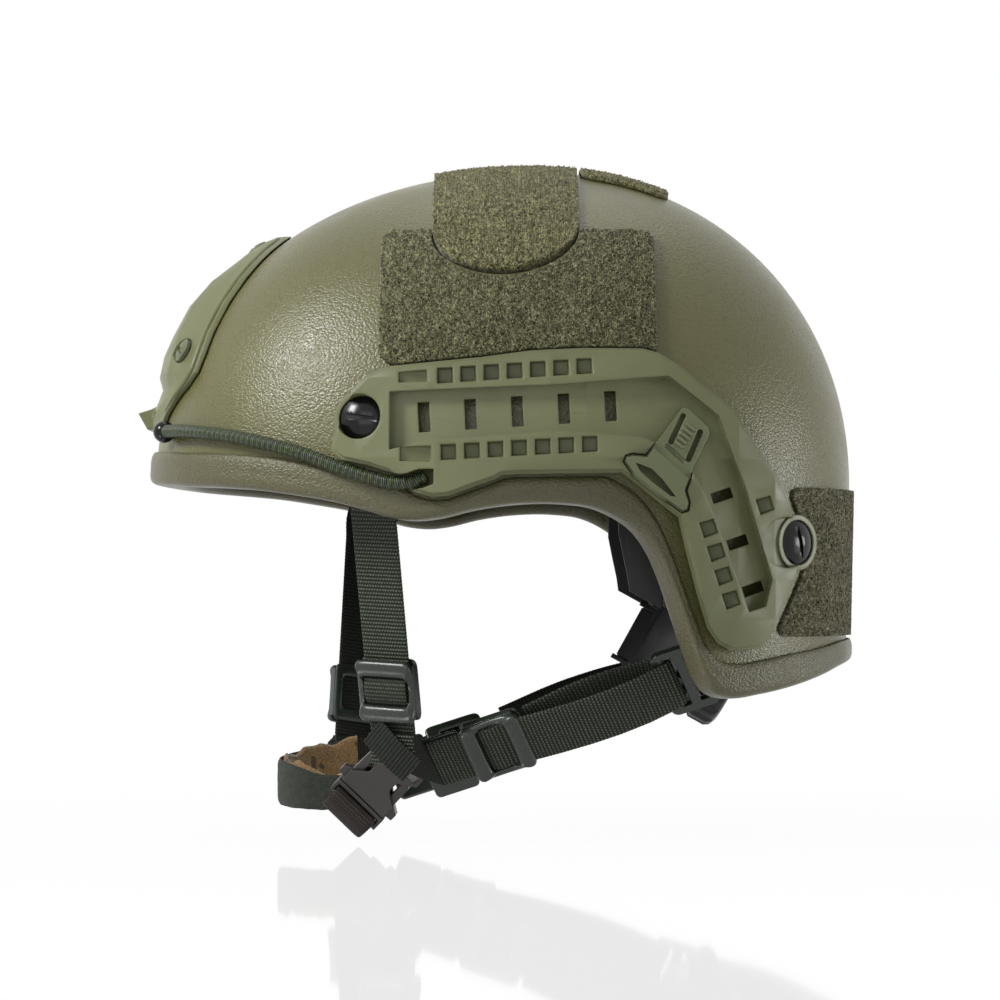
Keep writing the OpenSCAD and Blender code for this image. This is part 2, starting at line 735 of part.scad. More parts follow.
module front_plate() {
    rows = [for (p = plate_half) p[0]];
    shares = [-1, -0.96, -0.86, -0.74, -0.55, -0.35, -0.15, 0, 0.15, 0.35, 0.55, 0.74, 0.86, 0.96, 1];
    // The plate swells from a thin flange at its border to its full thickness
    function swell(u, z) = let(full = lookup(z, plate_thick) * plate_swell)
        min(full, between(2.2, full, max(0, min(1, (0.97 - abs(u)) / 0.22))));
    function sheet(full) = [
        for (z = rows) [
            for (u = shares)
                front_point(u * lookup(z, plate_half), z, full ? swell(u, z) : skin)
        ]
    ];
    color("#667048")
        difference() {
            union() {
                slab(sheet(true), sheet(false));
                translate([-lip_half, front_y, 0])
                    rotate([90, 0, 90])
                        linear_extrude(2 * lip_half)
                            polygon(plate_lip);
            }
            // Socket for a night vision mount, with undercut side grooves
            on_surface(front_point(0, 66, 0)) {
                hull()
                    block([socket_w + 14, socket_w + 10, 12], [1, 0, face_high + 6]);
                hull()
                    block([socket_w + 4, socket_w, 12], [2, 0, face_high - socket_depth + 6]);
                for (s = [-1, 1])
                    hull()
                        block([socket_w - 4, 3, 1.8], [0, s * socket_w / 2, face_high - socket_depth + 0.9]);
            }
            for (q = plate_screws)
                on_surface(front_point(q.x, q.y, 0)) {
                    hull()
                        translate([0, 0, 4.2])
                            cylinder(r = 5.2, h = 12, $fn = 24);
                    hull()
                        translate([0, 0, -4])
                            cylinder(r = screw_d / 2 + seat, h = 14, $fn = 24);
                }
            // Triangular dimples above the flank screws
            for (s = [-1, 1])
                on_surface(front_point(s * 37, 67, 0))
                    hull() {
                        block([8, 1, 1], [0, -3 * s, 8.6]);
                        block([1, 8, 1], [4, 1, 8.6]);
                        block([1, 1, 1], [2, 0, 6.4]);
                    }
            // Vents beside the lip
            for (s = [-1, 1])
                hull()
                    for (x = vent_x)
                        translate([s * x, front_y + vent_back, vent_z])
                            rotate([90, 0, 0])
                                cylinder(r = vent_r, h = 30, $fn = 16);
        }
}

module front_plate_screws() {
    color("#5c6442")
        for (q = plate_screws)
            on_surface(front_point(q.x, q.y, 0))
                screw(4.8, 4.5, 70);
}

module front_plate_nuts() {
    color("#2a2a2a")
        for (q = plate_screws)
            on_surface(front_point(q.x, q.y, 0))
                nut(seat - seat_depth);
}

// Bungee cords

// Round cord through a list of points, with flat ends
module cord(route, d, sides = 10) {
    last = len(route) - 1;
    function run(i) = unit(route[min(last, i + 1)] - route[max(0, i - 1)]);
    function ring(i) = let(
        side = unit(cross(run(i), [0, 0, 1])),
        up = cross(side, run(i))
    ) [for (k = [0:sides - 1]) route[i] + (side * cos(k * 360 / sides) + up * sin(k * 360 / sides)) * d / 2];
    loft([for (i = [0:last]) ring(i)], [route[0], route[last]]);
}

// Two points more between each pair of a route, on a smooth curve through them
function smooth_way(route) = let(last = len(route) - 1) concat(
    [for (i = [0:last - 1], t = [0, 0.5])
        let(
            a = route[max(0, i - 1)],
            b = route[i],
            c = route[i + 1],
            d = route[min(last, i + 2)]
        ) b + (c - a) * t / 2 + (a * 2 - b * 5 + c * 4 - d) * pow(t, 2) / 2
            + (b * 3 - a - c * 3 + d) * pow(t, 3) / 2],
    [route[last]]
);

module bungee_left() {
    color("#4d5636")
        cord(smooth_way(bungee_route), bungee_d);
}

module bungee_right() {
    color("#4d5636")
        mirror([1, 0, 0])
            cord(smooth_way(bungee_route), bungee_d);
}

module bungee_balls() {
    p = front_point(ball_place.x, ball_place.y, 0);
    color("#1b1b1b")
        both_sides()
            translate(p + outward(p) * (ball_d / 2 + seat - ball_dip))
                sphere(ball_d / 2);
}

// Loop patches

function ease(t, r) = 1 - sqrt(max(0, 1 - pow(max(0, 1 - t / r), 2)));
function crown_end(y) = let(v = (y - crown_mid_y) / (crown_w / 2))
    crown_reach[0] + crown_reach[1] * sqrt(max(0, 1 - v * v));
function rail_top_at(y) = lookup(y, rail_top);
function rail_back_at(z) = lookup(z, [for (i = [len(rail_back) - 1:-1:0]) [rail_back[i].y, rail_back[i].x]]);

module side_patch() {
    ny = 18;
    nz = 4;
    corner = 6;
    function high(y) = let(
        end = min(y - side_patch_y[0], side_patch_y[1] - y),
        top = side_patch_z[1] - corner * ease(end, corner)
    ) abs(y - crown_mid_y) < crown_w / 2 + 0.6 ? min(top, top_z(crown_end(y) + 1, y, 0) - 0.4) : top;
    function low(y) = let(end = min(y - side_patch_y[0], side_patch_y[1] - y))
        max(side_patch_z[0], rail_top_at(y) + 0.8) + 2 * ease(end, 3);
    function sheet(off) = [
        for (i = [0:ny])
            let(y = between(side_patch_y[0], side_patch_y[1], (1 - cos(180 * i / ny)) / 2)) [
                for (j = [0:nz])
                    side_point(y, between(low(y), high(y), j / nz), off)
            ]
    ];
    slab(sheet(patch_t), sheet(skin));
}

module side_patch_left() {
    color("#575b3b")
        side_patch();
}

module side_patch_right() {
    color("#575b3b")
        mirror([1, 0, 0])
            side_patch();
}

module crown_strip() {
    nx = 18;
    ny = 6;
    function sheet(off) = [
        for (j = [0:ny])
            let(y = crown_mid_y + crown_w * (j / ny - 0.5)) [
                for (i = [0:nx])
                    let(x = crown_end(y) * sin(90 * (2 * i / nx - 1)))
                        [x, y, top_z(x, y, off)]
            ]
    ];
    color("#626a43")
        slab(sheet(patch_t), sheet(skin));
}

module crown_rear_patch() {
    nx = 8;
    ny = 4;
    corner = 8;
    function sheet(off) = [
        for (j = [0:ny])
            let(
                y = between(crown_rear_y[0], crown_rear_y[1], j / ny),
                reach = crown_rear_half - corner * ease(crown_rear_y[1] - y, corner)
            ) [for (i = [0:nx]) let(x = reach * (2 * i / nx - 1)) [x, y, top_z(x, y, off)]]
    ];
    color("#626a43")
        slab(sheet(patch_t), sheet(skin));
}

module rear_patch() {
    nx = 16;
    nz = 5;
    corner = 5;
    function reach(z) = side_x(rail_back_at(z) + 1.2, z, 0)
        - corner * ease(min(z - rear_patch_z[0], rear_patch_z[1] - z), corner);
    function sheet(off) = [
        for (j = [0:nz])
            let(z = between(rear_patch_z[0], rear_patch_z[1], j / nz)) [
                for (i = [0:nx])
                    let(x = reach(z) * sin(90 * (2 * i / nx - 1)))
                        [x, end_y(x, z, off, true), z]
            ]
    ];
    color("#575b3b")
        slab(sheet(patch_t), sheet(skin));
}

// Liner pads, each with a crown, drawn-in sides and sewn channels

function cushion(u, v, cuts) = let(
    side = pow(max(0, (1 - pow(abs(u), 4)) * (1 - pow(abs(v), 4))), 0.5),
    groove = max([for (c = cuts) pow(max(0, 1 - abs(u - c) / 0.2), 2)])
) 0.3 + 0.7 * side * (1 - 0.3 * groove);

module pad_side() {
    n = 12;
    m = 6;
    function at(i, j, face) = let(
        u = 2 * i / n - 1,
        v = 2 * j / m - 1,
        y = between(pad_side_y[0], pad_side_y[1], i / n),
        z = between(pad_side_z[0], pad_side_z[1], j / m)
    ) side_point(y, z, -wall - liner_gap - (face ? pad_t * cushion(u, v, [-0.33, 0.33]) : 0));
    slab(
        [for (i = [0:n]) [for (j = [0:m]) at(i, j, false)]],
        [for (i = [0:n]) [for (j = [0:m]) at(i, j, true)]]
    );
}

module pad_left() {
    color("#232323")
        pad_side();
}

module pad_right() {
    color("#232323")
        mirror([1, 0, 0])
            pad_side();
}

module pad_end(half, z_span, rear, cuts) {
    n = 12;
    m = 6;
    function at(i, j, face) = let(
        u = 2 * i / n - 1,
        v = 2 * j / m - 1,
        z = between(z_span[0], z_span[1], j / m),
        off = face ? -wall - liner_gap - pad_t * cushion(u, v, cuts) : -wall - liner_gap
    ) [half * u, end_y(half * u, z, off, rear), z];
    slab(
        [for (i = [0:n]) [for (j = [0:m]) at(i, j, false)]],
        [for (i = [0:n]) [for (j = [0:m]) at(i, j, true)]]
    );
}

module pad_front() {
    color("#232323")
        pad_end(pad_front_half, pad_front_z, false, [-0.4, 0.4]);
}

module pad_rear() {
    color("#232323")
        pad_end(pad_rear_half, pad_rear_z, true, [0]);
}

module pad_crown() {
    n = 12;
    function at(i, j, face) = let(
        u = 2 * i / n - 1,
        v = 2 * j / n - 1,
        x = pad_crown_half[0] * u * sqrt(1 - v * v / 2),
        y = pad_crown_y + pad_crown_half[1] * v * sqrt(1 - u * u / 2)
    ) [x, y, top_z(x, y, -wall - liner_gap - (face ? pad_t * cushion(u, v, [-0.35, 0.35]) : 0))];
    color("#232323")
        slab(
            [for (i = [0:n]) [for (j = [0:n]) at(i, j, false)]],
            [for (i = [0:n]) [for (j = [0:n]) at(i, j, true)]]
        );
}

// Headband and yokes

headband_off = -wall - liner_gap - pad_t - seat;

// Plan of the headband at an offset, drawn in as the dome is at the band's upper edge
function band_side(y, off) = side_x(y, headband_z + headband_h, off);
function band_plan(off) = let(draw = level(headband_z + headband_h, off)) [
    for (t = [-headband_turn:6:180 + headband_turn])
        let(c = spow(cos(t), 2 / plan_pow), s = spow(sin(t), 2 / plan_pow))
            [half_w(off) * c * draw, mid_y - (s < 0 ? rear_reach + off : front_reach + off) * s * draw]
];

module headband() {
    outer = band_plan(headband_off);
    inner = band_plan(headband_off - band_t);
    color("#1f1f1f")
        difference() {
            translate([0, 0, headband_z])
                linear_extrude(headband_h)
                    polygon(concat(inner, [for (i = [len(outer) - 1:-1:0]) outer[i]]));
            both_sides()
                translate([0, rivet_place.x, rivet_place.y])
                    rotate([0, 90, 0])
                        cylinder(r = rivet_r, h = 140);
        }
}

module headband_rivets() {
    inside = yoke_x - seat;
    head_r = 3.6;
    outside = band_side(rivet_place.x - head_r, headband_off) + seat;
    color("#3a3a3a")
        both_sides()
            translate([0, rivet_place.x, rivet_place.y])
                rotate([0, 90, 0]) {
                    for (x = [inside - rivet_head, outside])
                        translate([0, 0, x])
                            cylinder(r = head_r, h = rivet_head);
                    translate([0, 0, inside - 1])
                        cylinder(r = rivet_r - 0.2, h = outside - inside + 1.6);
                }
}

// Place in the middle plane at a reach along the dial's axis and a height across the bands
function dial_place(reach, high) = [
    dial_y + reach * cos(dial_tilt) + high * sin(dial_tilt),
    dial_z - reach * sin(dial_tilt) + high * cos(dial_tilt)
];

// Frame of the toothed bands: first axis through the dial, third axis across the bands
module dial_frame() {
    translate([0, dial_y, dial_z])
        rotate([-dial_tilt, 0, 0])
            rotate([0, 0, 90])
                children();
}

module arc_ring(r0, r1, z0, z1, from, to) {
    rotate([0, 0, from])
        rotate_extrude(angle = to - from, $fn = 180)
            translate([r0, z0])
                square([r1 - r0, z1 - z0]);
}

module guide_ring(r0, r1, z0, z1) {
    arc_ring(r0, r1, z0, z1, -yoke_guide[1], -yoke_guide[0]);
}

module yoke() {
    lip = rack_half + fit;
    outside = rack_r + rack_t + fit;
    inner_face = band_side(rivet_place.x + 4, headband_off - band_t);
    difference() {
        union() {
            translate([yoke_x, 0, 0])
                rotate([90, 0, 90])
                    linear_extrude(band_t + fit)
                        polygon(concat(
                            yoke_front,
                            [for (reach = yoke_foot) dial_place(reach, lip + 1)],
                            yoke_back
                        ));
            translate([yoke_x + band_t, rivet_place.x, rivet_place.y])
                rotate([0, 90, 0])
                    cylinder(r = 4.5, h = inner_face - seat - yoke_x - band_t);
            dial_frame() {
                guide_ring(outside, outside + 2.4, -lip - 2, lip + 2);
                guide_ring(rack_r - 0.6, outside + 2, lip, lip + 2);
                guide_ring(rack_r - 0.6, outside + 2, -lip - 2, -lip);
            }
        }
        translate([0, rivet_place.x, rivet_place.y])
            rotate([0, 90, 0])
                cylinder(r = rivet_r, h = 140);
    }
}

module yoke_left() {
    color("#202020")
        yoke();
}

module yoke_right() {
    color("#202020")
        mirror([1, 0, 0])
            yoke();
}

// Dial that draws the two toothed bands together

module rack_band() {
    root = pitch_r + 1.2;
    half = 1.57 / 2 - 0.2;
    tooth = [
        [-half - 0.44, root + 0.4], [-half - 0.44, root], [-half + 0.33, pitch_r - 0.9],
        [half - 0.33, pitch_r - 0.9], [half + 0.44, root], [half + 0.44, root + 0.4]
    ];
    difference() {
        arc_ring(rack_r, rack_r + rack_t, -rack_half, rack_half, -band_front, band_tail);
        arc_ring(rack_r - 1, rack_r + rack_t + 1, -root, rack_half + 1, -band_wide, band_tail + 1);
    }
    for (i = [-1:rack_count - 2])
        rotate([0, 0, -i * tooth_turn])
            translate([rack_r + 0.05, 0, 0])
                rotate([90, 0, 90])
                    linear_extrude(rack_t - 0.1)
                        mirror([0, 1])
                            polygon(tooth);
}

module rack_band_left() {
    color("#2b2b2b")
        dial_frame()
            rack_band();
}

module rack_band_right() {
    color("#2b2b2b")
        dial_frame()
            rotate([180, 0, 0])
                rack_band();
}

module dial_housing() {
    room = rack_half + fit;
    outside = rack_r + rack_t;
    color("#1d1d1d")
        dial_frame()
            difference() {
                arc_ring(rack_r - box_in, outside + box_out, -box_half, box_half, -box_turn, box_turn);
                arc_ring(rack_r - fit, outside + fit, -room, room, -box_turn - 1, box_turn + 1);
                translate([rack_r + 1, 0, 0])
                    rotate([0, 90, 0])
                        cylinder(r = shaft_r, h = 10);
            }
}

module dial_pinion() {
    face = rack_r + rack_t + box_out + knob_gap;
    half = 0.5;
    color("#3c3c3c")
        dial_frame()
            translate([rack_r - 0.1, 0, 0])
                rotate([90, 0, 90]) {
                    cylinder(r = pitch_r - 1.2, h = rack_t + 0.2);
                    for (k = [0:pinion_teeth - 1])
                        rotate([0, 0, (k + 0.5) * 360 / pinion_teeth])
                            linear_extrude(rack_t + 0.2)
                                polygon([
                                    [pitch_r - 1.6, -half - 0.3], [pitch_r, -half], [pitch_r + 0.9, -0.22],
                                    [pitch_r + 0.9, 0.22], [pitch_r, half], [pitch_r - 1.6, half + 0.3]
                                ]);
                    cylinder(r = shaft_r - 0.08, h = face - rack_r + 6);
                }
}

module dial_knob() {
    face = rack_r + rack_t + box_out + knob_gap;
    ribs = 18;
    color("#242424")
        dial_frame()
            translate([face, 0, 0])
                rotate([90, 0, 90])
                    difference() {
                        rotate_extrude($fn = 96)
                            polygon([
                                [0, 0], [knob_d / 2 - 1, 0], [knob_d / 2, 1], [knob_d / 2, knob_t - 3],
                                [knob_d / 2 - 1.2, knob_t - 1], [knob_d / 2 - 3.5, knob_t], [0, knob_t]
                            ]);
                        translate([0, 0, -1])
                            cylinder(r = shaft_r, h = 7.2);
                        for (k = [0:ribs - 1])
                            rotate([0, 0, k * 360 / ribs])
                                translate([knob_d / 2 + 1.2, 0, -1])
                                    cylinder(r = 2.4, h = knob_t + 2);
                        translate([0, 0, knob_t - 1])
                            cylinder(r = knob_d / 2 - 7, h = 3);
                    }
}

module dial_hanger() {
    top = rear_y - wall - 2.2;
    wide = 30;
    // The dial housing's upper face in the middle plane
    seat_at = dial_place(rack_r, box_half + seat);
    path = [
        [top, -14], [top - 0.4, -34], [top - 4, -44], [top - 17, -52],
        seat_at + [10, 2.2], seat_at + [-2, 1.4]
    ];
    // Rise of the strip's upper face over each point of the path
    rise = [0, 1.54, 1.54, 1.54, 2.42, 2.42];
    color("#222222")
        rotate([90, 0, 90])
            translate([0, 0, -wide / 2])
                linear_extrude(wide)
                    polygon(concat(path, [for (i = [len(path) - 1:-1:0]) path[i] + [-0.99, rise[i]]]));
}

module nape_pad() {
    n = 12;
    m = 6;
    span = 27;
    deep = 10;
    function at(i, j, face) = let(
        u = 2 * i / n - 1,
        v = 2 * j / m - 1,
        r = rack_r - box_in - seat - (face ? deep * cushion(u, v, [-0.4, 0.4]) : 0)
    ) [r * cos(u * span), r * sin(u * span), v * (box_half - 1)];
    color("#262626")
        dial_frame()
            slab(
                [for (i = [0:n]) [for (j = [0:m]) at(i, j, false)]],
                [for (i = [0:n]) [for (j = [0:m]) at(i, j, true)]]
            );
}

// Chin harness

function anchor_point(q, drop, depth) = let(
    p = side_point(q.x, q.y, 0),
    n = outward(p),
    side = unit([-n.y, n.x, 0]),
    down = cross(side, n)
) p - n * (wall + depth) + down * drop;
function tangent_side(q) = let(n = outward(side_point(q.x, q.y, 0))) unit([-n.y, n.x, 0]);

front_pass = [side_x(rim_pass.x, rim_pass.y, -wall) - strap_inset, rim_pass.x, rim_pass.y];
// The right side's cheek hangs lower and further ahead, in shares of its lead and drop
function hung(p, share, right) = right ? p - [0, right_lead, right_drop] * share : p;
function front_way(right) = [
    hung(front_pass, 0.5, right) + [0, 0, right ? right_drop / 2 : 0],
    hung(front_end, 1.2, right)
];
function rear_way(right) = [hung(rear_start, 1, right), rear_end + [0, 0, right ? -right_drop / 2 : 0]];
strap_side = [sin(strap_turn), cos(strap_turn), 0];
function run_of(way) = unit(way[1] - way[0]);
function rear_side(way) = let(
    e = run_of(way),
    low = unit(cross(e, [1, 0, 0]))
) unit(low * cos(rear_roll) - cross(low, e) * sin(rear_roll));

module strap_anchors() {
    color("#1e1e1e")
        both_sides()
            for (q = [front_screw, rear_screw])
                rail_screw_point(q)
                    difference() {
                        translate([0, 0, -wall - anchor_t + seat_depth - seat]) {
                            cylinder(r = anchor_r, h = anchor_t);
                            block([anchor_drop + 2, 12, 1], [(anchor_drop + 2) / 2, 0, 0.5]);
                        }
                        translate([0, 0, -wall - 5])
                            cylinder(r = screw_d / 2 + 0.2, h = 8);
                    }
}

module front_strap(right) {
    way = front_way(right);
    side = tangent_side(front_screw);
    under = anchor_t - seat_depth + seat * 2 + web_t / 2;
    top = anchor_point(front_screw, anchor_drop, under);
    next = anchor_point(front_screw, anchor_drop + 6, under + 2.5);
    ribbon([top, next, way[0], way[1]], [side, side, strap_side, strap_side]);
}

module front_strap_left() {
    color("#3e4a33")
        front_strap(false);
}

module front_strap_right() {
    color("#3e4a33")
        mirror([1, 0, 0])
            front_strap(true);
}

// Lower strap that turns back through its ring, and the strap that holds the ring
module rear_strap(right) {
    way = rear_way(right);
    e = run_of(way);
    w = rear_side(way);
    n = cross(w, e);
    side = tangent_side(rear_screw);
    under = anchor_t - seat_depth + seat * 2 + web_t / 2;
    turn = ring_bar_r + seat + web_t / 2;
    ribbon(
        concat(
            [way[0], way[1]],
            [for (k = [1:3]) way[1] + n * turn * (cos(k * 45) - 1) + e * turn * sin(k * 45)],
            [
                way[1] - n * turn * 2,
                between(way[1], way[0], 0.3) - n * (turn * 2 - 1) - w * 2.5,
                between(way[1], way[0], 0.58) - n * 4.4
            ]
        ),
        [w]
    );
    top = anchor_point(rear_screw, anchor_drop, under);
    next = anchor_point(rear_screw, anchor_drop + 8, under + 1);
    ring_end = way[1] - n * turn + e * (ring_l - 3.2 + 0.8);
    ribbon([top, next, ring_end + e * 6, ring_end], [side, side, w, w]);
}

module rear_strap_left() {
    color("#3e4a33")
        rear_strap(false);
}

module rear_strap_right() {
    color("#3e4a33")
        mirror([1, 0, 0])
            rear_strap(true);
}

// Slider seen from outside: a frame in front of the webbing and two bars behind it
module slider_body() {
    channel = web_t + 2 * seat;
    front = 3.4;
    back = 1.5;
    z0 = -channel / 2 - back;
    tall = channel + front + back;
    difference() {
        translate([0, 0, z0])
            linear_extrude(tall)
                rounded(slider_w, slider_l, 2.5);
        block([web_w + 2 * fit, slider_l + 2, channel]);
        block([web_w - 5, slider_l * 0.5, 12], [0, 0, channel / 2 + 6]);
        block([web_w - 4, slider_l * 0.6, 12], [0, 0, -channel / 2 - 5]);
    }
}

// Fold of webbing that shows in a slider's window
module slider_fold() {
    r = 7;
    lift = web_t / 2 + seat;
    intersection() {
        translate([0, 0, lift + 2.6 - r])
            rotate([0, 90, 0])
                cylinder(r = r, h = web_w - 5 - 2 * seat, center = true);
        block([web_w, slider_l * 0.5 - 2 * seat, 6], [0, 0, lift + 3]);
    }
}

module on_front_strap(right) {
    way = front_way(right);
    e = run_of(way);
    w = unit(strap_side - e * (strap_side * e));
    placed(way[0] + e * (right ? right_slider_way : front_slider_way), w, -e)
        children();
}

module on_rear_strap(right) {
    way = rear_way(right);
    placed(way[0] + run_of(way) * rear_slider_way, rear_side(way), run_of(way))
        children();
}

module front_slider_left() {
    color("#3a4036")
        on_front_strap(false)
            slider_body();
}

module front_slider_right() {
    color("#3a4036")
        mirror([1, 0, 0])
            on_front_strap(true)
                slider_body();
}

module rear_slider_left() {
    color("#3a4036")
        on_rear_strap(false)
            slider_body();
}

module rear_slider_right() {
    color("#3a4036")
        mirror([1, 0, 0])
            on_rear_strap(true)
                slider_body();
}

module front_slider_web_left() {
    color("#3e4a33")
        on_front_strap(false)
            slider_fold();
}

module front_slider_web_right() {
    color("#3e4a33")
        mirror([1, 0, 0])
            on_front_strap(true)
                slider_fold();
}

module rear_slider_web_left() {
    color("#3e4a33")
        on_rear_strap(false)
            slider_fold();
}

module rear_slider_web_right() {
    color("#3e4a33")
        mirror([1, 0, 0])
            on_rear_strap(true)
                slider_fold();
}

// Ring with a round bar that the lower strap turns on, and a slot for the upper strap
module strap_ring(right) {
    way = rear_way(right);
    turn = ring_bar_r + seat + web_t / 2;
    placed(way[1] - cross(rear_side(way), run_of(way)) * turn, rear_side(way), run_of(way)) {
        difference() {
            translate([0, ring_l / 2 - 3.2, 0])
                linear_extrude(3.4, center = true)
                    rounded(web_w + 7, ring_l, 3);
            block([web_w + 1.6, 7, 8], [0, 2, 0]);
            block([web_w + 1, 3.6, 8], [0, ring_slot, 0]);
        }
        rotate([0, 90, 0])
            cylinder(r = ring_bar_r, h = web_w + 4, center = true);
    }
}

module strap_ring_left() {
    color("#2f3a30")
        strap_ring(false);
}

module strap_ring_right() {
    color("#2f3a30")
        mirror([1, 0, 0])
            strap_ring(true);
}

// Flat plate behind the rear strap near the cheek
module keeper(right) {
    way = rear_way(right);
    placed(way[0] + run_of(way) * 3.6, rear_side(way), run_of(way))
        translate([2.4, 0, -web_t / 2 - seat - keeper_t])
            linear_extrude(keeper_t)
                rounded(web_w + 6, 18, 2);
}

module keeper_left() {
    color("#26292a")
        keeper(false);
}

module keeper_right() {
    color("#26292a")
        mirror([1, 0, 0])
            keeper(true);
}

// Sewn webbing that turns from the front strap's end to the rear strap's start
module cheek_web(right) {
    front = front_way(right);
    rear = rear_way(right);
    down = run_of(front);
    half = web_w / 2;
    w = unit(strap_side - down * (strap_side * down));
    gap = [down * seat, -run_of(rear) * seat];
    outer = [front[1] - w * half + gap[0], rear[0] + rear_side(rear) * half + gap[1]];
    inner = [front[1] + w * half + gap[0], rear[0] - rear_side(rear) * half + gap[1]];
    corner = front[1] - w * half + down * 15;
    function outer_at(t) = between(between(outer[0], corner, t), between(corner, outer[1], t), t);
    function inner_at(t) = between(inner[0], inner[1], t);
    function out_at(t) = unit(between(cross(w, -down), cross(rear_side(rear), run_of(rear)), t));
    function sheet(off) = [
        for (t = [0, 0.25, 0.5, 0.75, 1])
            [for (u = [0, 0.5, 1]) between(outer_at(t), inner_at(t), u) + out_at(t) * off]
    ];
    slab(sheet(web_t / 2), sheet(-web_t / 2));
}

module cheek_web_left() {
    color("#27302a")
        cheek_web(false);
}

module cheek_web_right() {
    color("#27302a")
        mirror([1, 0, 0])
            cheek_web(true);
}

// Chin cup: a padded band round the chin
module chin_cup() {
    way = smooth_way(cup_points());
    shares = [for (k = [0:len(cup_route) - 1]) [k, cup_route[k][3]]];
    heights = [for (i = [0:len(way) - 1]) lookup(i / 2, shares)];
    m = 6;
    last = len(way) - 1;
    function run(i) = unit(way[min(last, i + 1)] - way[max(0, i - 1)]);
    function out(i) = unit(cross([0, 0, 1], run(i)));
    function face(i, j, inside) = let(
        v = 2 * j / m - 1,
        full = 0.35 + 0.65 * sqrt(max(0, 1 - pow(v, 4)))
    ) way[i] + [0, 0, v * cup_h * heights[i] / 2] + out(i) * (inside ? 1 : -1) * cup_t / 2 * full;
    color("#2f3a2c")
        slab(
            [for (i = [0:last]) [for (j = [0:m]) face(i, j, false)]],
            [for (i = [0:last]) [for (j = [0:m]) face(i, j, true)]]
        );
}

function cup_points() = [for (p = cup_route) [p[0], p[1], p[2]]];

module chin_strap() {
    way = cup_points();
    last = len(way) - 1;
    away = unit([way[last].x - way[last - 1].x, way[last].y - way[last - 1].y, 0]);
    cheek = flip(hung(front_end, 1.2, true)) + [12.5, 9, -12];
    color("#3e4a33")
        ribbon([way[last] + away * 0.5, way[last] + away * 7, cheek], [[0, 0, 1]], web_w * 4 / 5);
}

// Buckle between the left cheek and the chin cup

module buckle_frame() {
    placed(buckle_mid, buckle_side, buckle_up)
        children();
}

module buckle_socket() {
    plate = 1.8;
    outline = [
        [-buckle_w / 2, mouth], [buckle_w / 2, mouth], [buckle_w / 2, -4.2], [5.4, 0.4], [5.4, 4.6],
        [10.6, 8], [web_w / 2 + 2, 9.4], [web_w / 2 + 1.6, socket_end],
        [-web_w / 2 - 1.6, socket_end], [-web_w / 2 - 2, 9.4],
        [-10.6, 8], [-5.4, 4.6], [-5.4, 0.4], [-buckle_w / 2, -4.2]
    ];
    color("#363d34")
        buckle_frame()
            difference() {
                union() {
                    for (z = [-buckle_t / 2, buckle_t / 2 - plate])
                        translate([0, 0, z])
                            linear_extrude(plate)
                                polygon(outline);
                    block([web_w + 3.2, socket_end - 8.6, buckle_t], [0, (socket_end + 8.6) / 2, 0]);
                }
                block([web_w + 2 * seat, bar_slot_h, 20], [0, 10.9, 0]);
            }
}

module buckle_plug() {
    tab = [
        [7.2, mouth + fit], [14, mouth + fit + 0.6], [14, -5.6], [prong_w + 7.2, -3.4], [prong_w + 7, 5.4],
        [prong_w + 5.6, 7.4], [7.6, 7.4], [7, 5.6]
    ];
    shoulder = mouth - seat;
    foot = plug_end - 1;
    color("#3a3330")
        buckle_frame()
            difference() {
                union() {
                    block([buckle_w + 1.4, shoulder - foot, buckle_t], [0, (shoulder + foot) / 2, 0]);
                    block([7, 10, prong_t], [0, mouth + 4.6, 0]);
                    for (s = [0, 1])
                        mirror([s, 0, 0]) {
                            translate([0, 0, -prong_t / 2])
                                linear_extrude(prong_t)
                                    polygon(tab);
                            block([3.4, 2, prong_t], [9.2, mouth + 0.2, 0]);
                        }
                }
                block([web_w + 2 * seat, 2.6, 20], [0, (mouth + plug_end) / 2 - 0.9, 0]);
            }
}

// Webbing folded round the plug's bar and led back behind the buckle
module buckle_web() {
    n = cross(buckle_side, buckle_up);
    slot_at = buckle_mid + buckle_up * ((mouth + plug_end) / 2 - 0.9);
    far = buckle_mid + buckle_up * (plug_end - 7.5);
    color("#37302a")
        ribbon([
            slot_at + n * 4, slot_at + n * (buckle_t / 2 + 2.1), far + n * 2.6, far - n * 1.4,
            slot_at - n * (buckle_t / 2 + 2.9), buckle_mid - n * (buckle_t / 2 + 3.4) - buckle_up * 4
        ], [buckle_side], web_w, 1.8);
}

shell();
edge_trim();
rail_left();
rail_right();
rail_clip_left();
rail_clip_right();
rail_screws();
rail_nuts();
front_plate();
front_plate_screws();
front_plate_nuts();
bungee_left();
bungee_right();
bungee_balls();
side_patch_left();
side_patch_right();
crown_strip();
crown_rear_patch();
rear_patch();
pad_crown();
pad_front();
pad_rear();
pad_left();
pad_right();
headband();
headband_rivets();
yoke_left();
yoke_right();
dial_housing();
dial_hanger();
nape_pad();
rack_band_left();
rack_band_right();
dial_pinion();
dial_knob();
strap_anchors();
front_strap_left();
front_strap_right();
rear_strap_left();
rear_strap_right();
front_slider_left();
front_slider_right();
rear_slider_left();
rear_slider_right();
front_slider_web_left();
front_slider_web_right();
rear_slider_web_left();
rear_slider_web_right();
strap_ring_left();
strap_ring_right();
keeper_left();
keeper_right();
cheek_web_left();
cheek_web_right();
chin_cup();
chin_strap();
buckle_socket();
buckle_plug();
buckle_web();
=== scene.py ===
# Combat helmet: the looks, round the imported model. Modelling is in millimetres, scaled once.
import json
import math
import random

import bmesh
import bpy
from mathutils import Matrix, Vector, noise

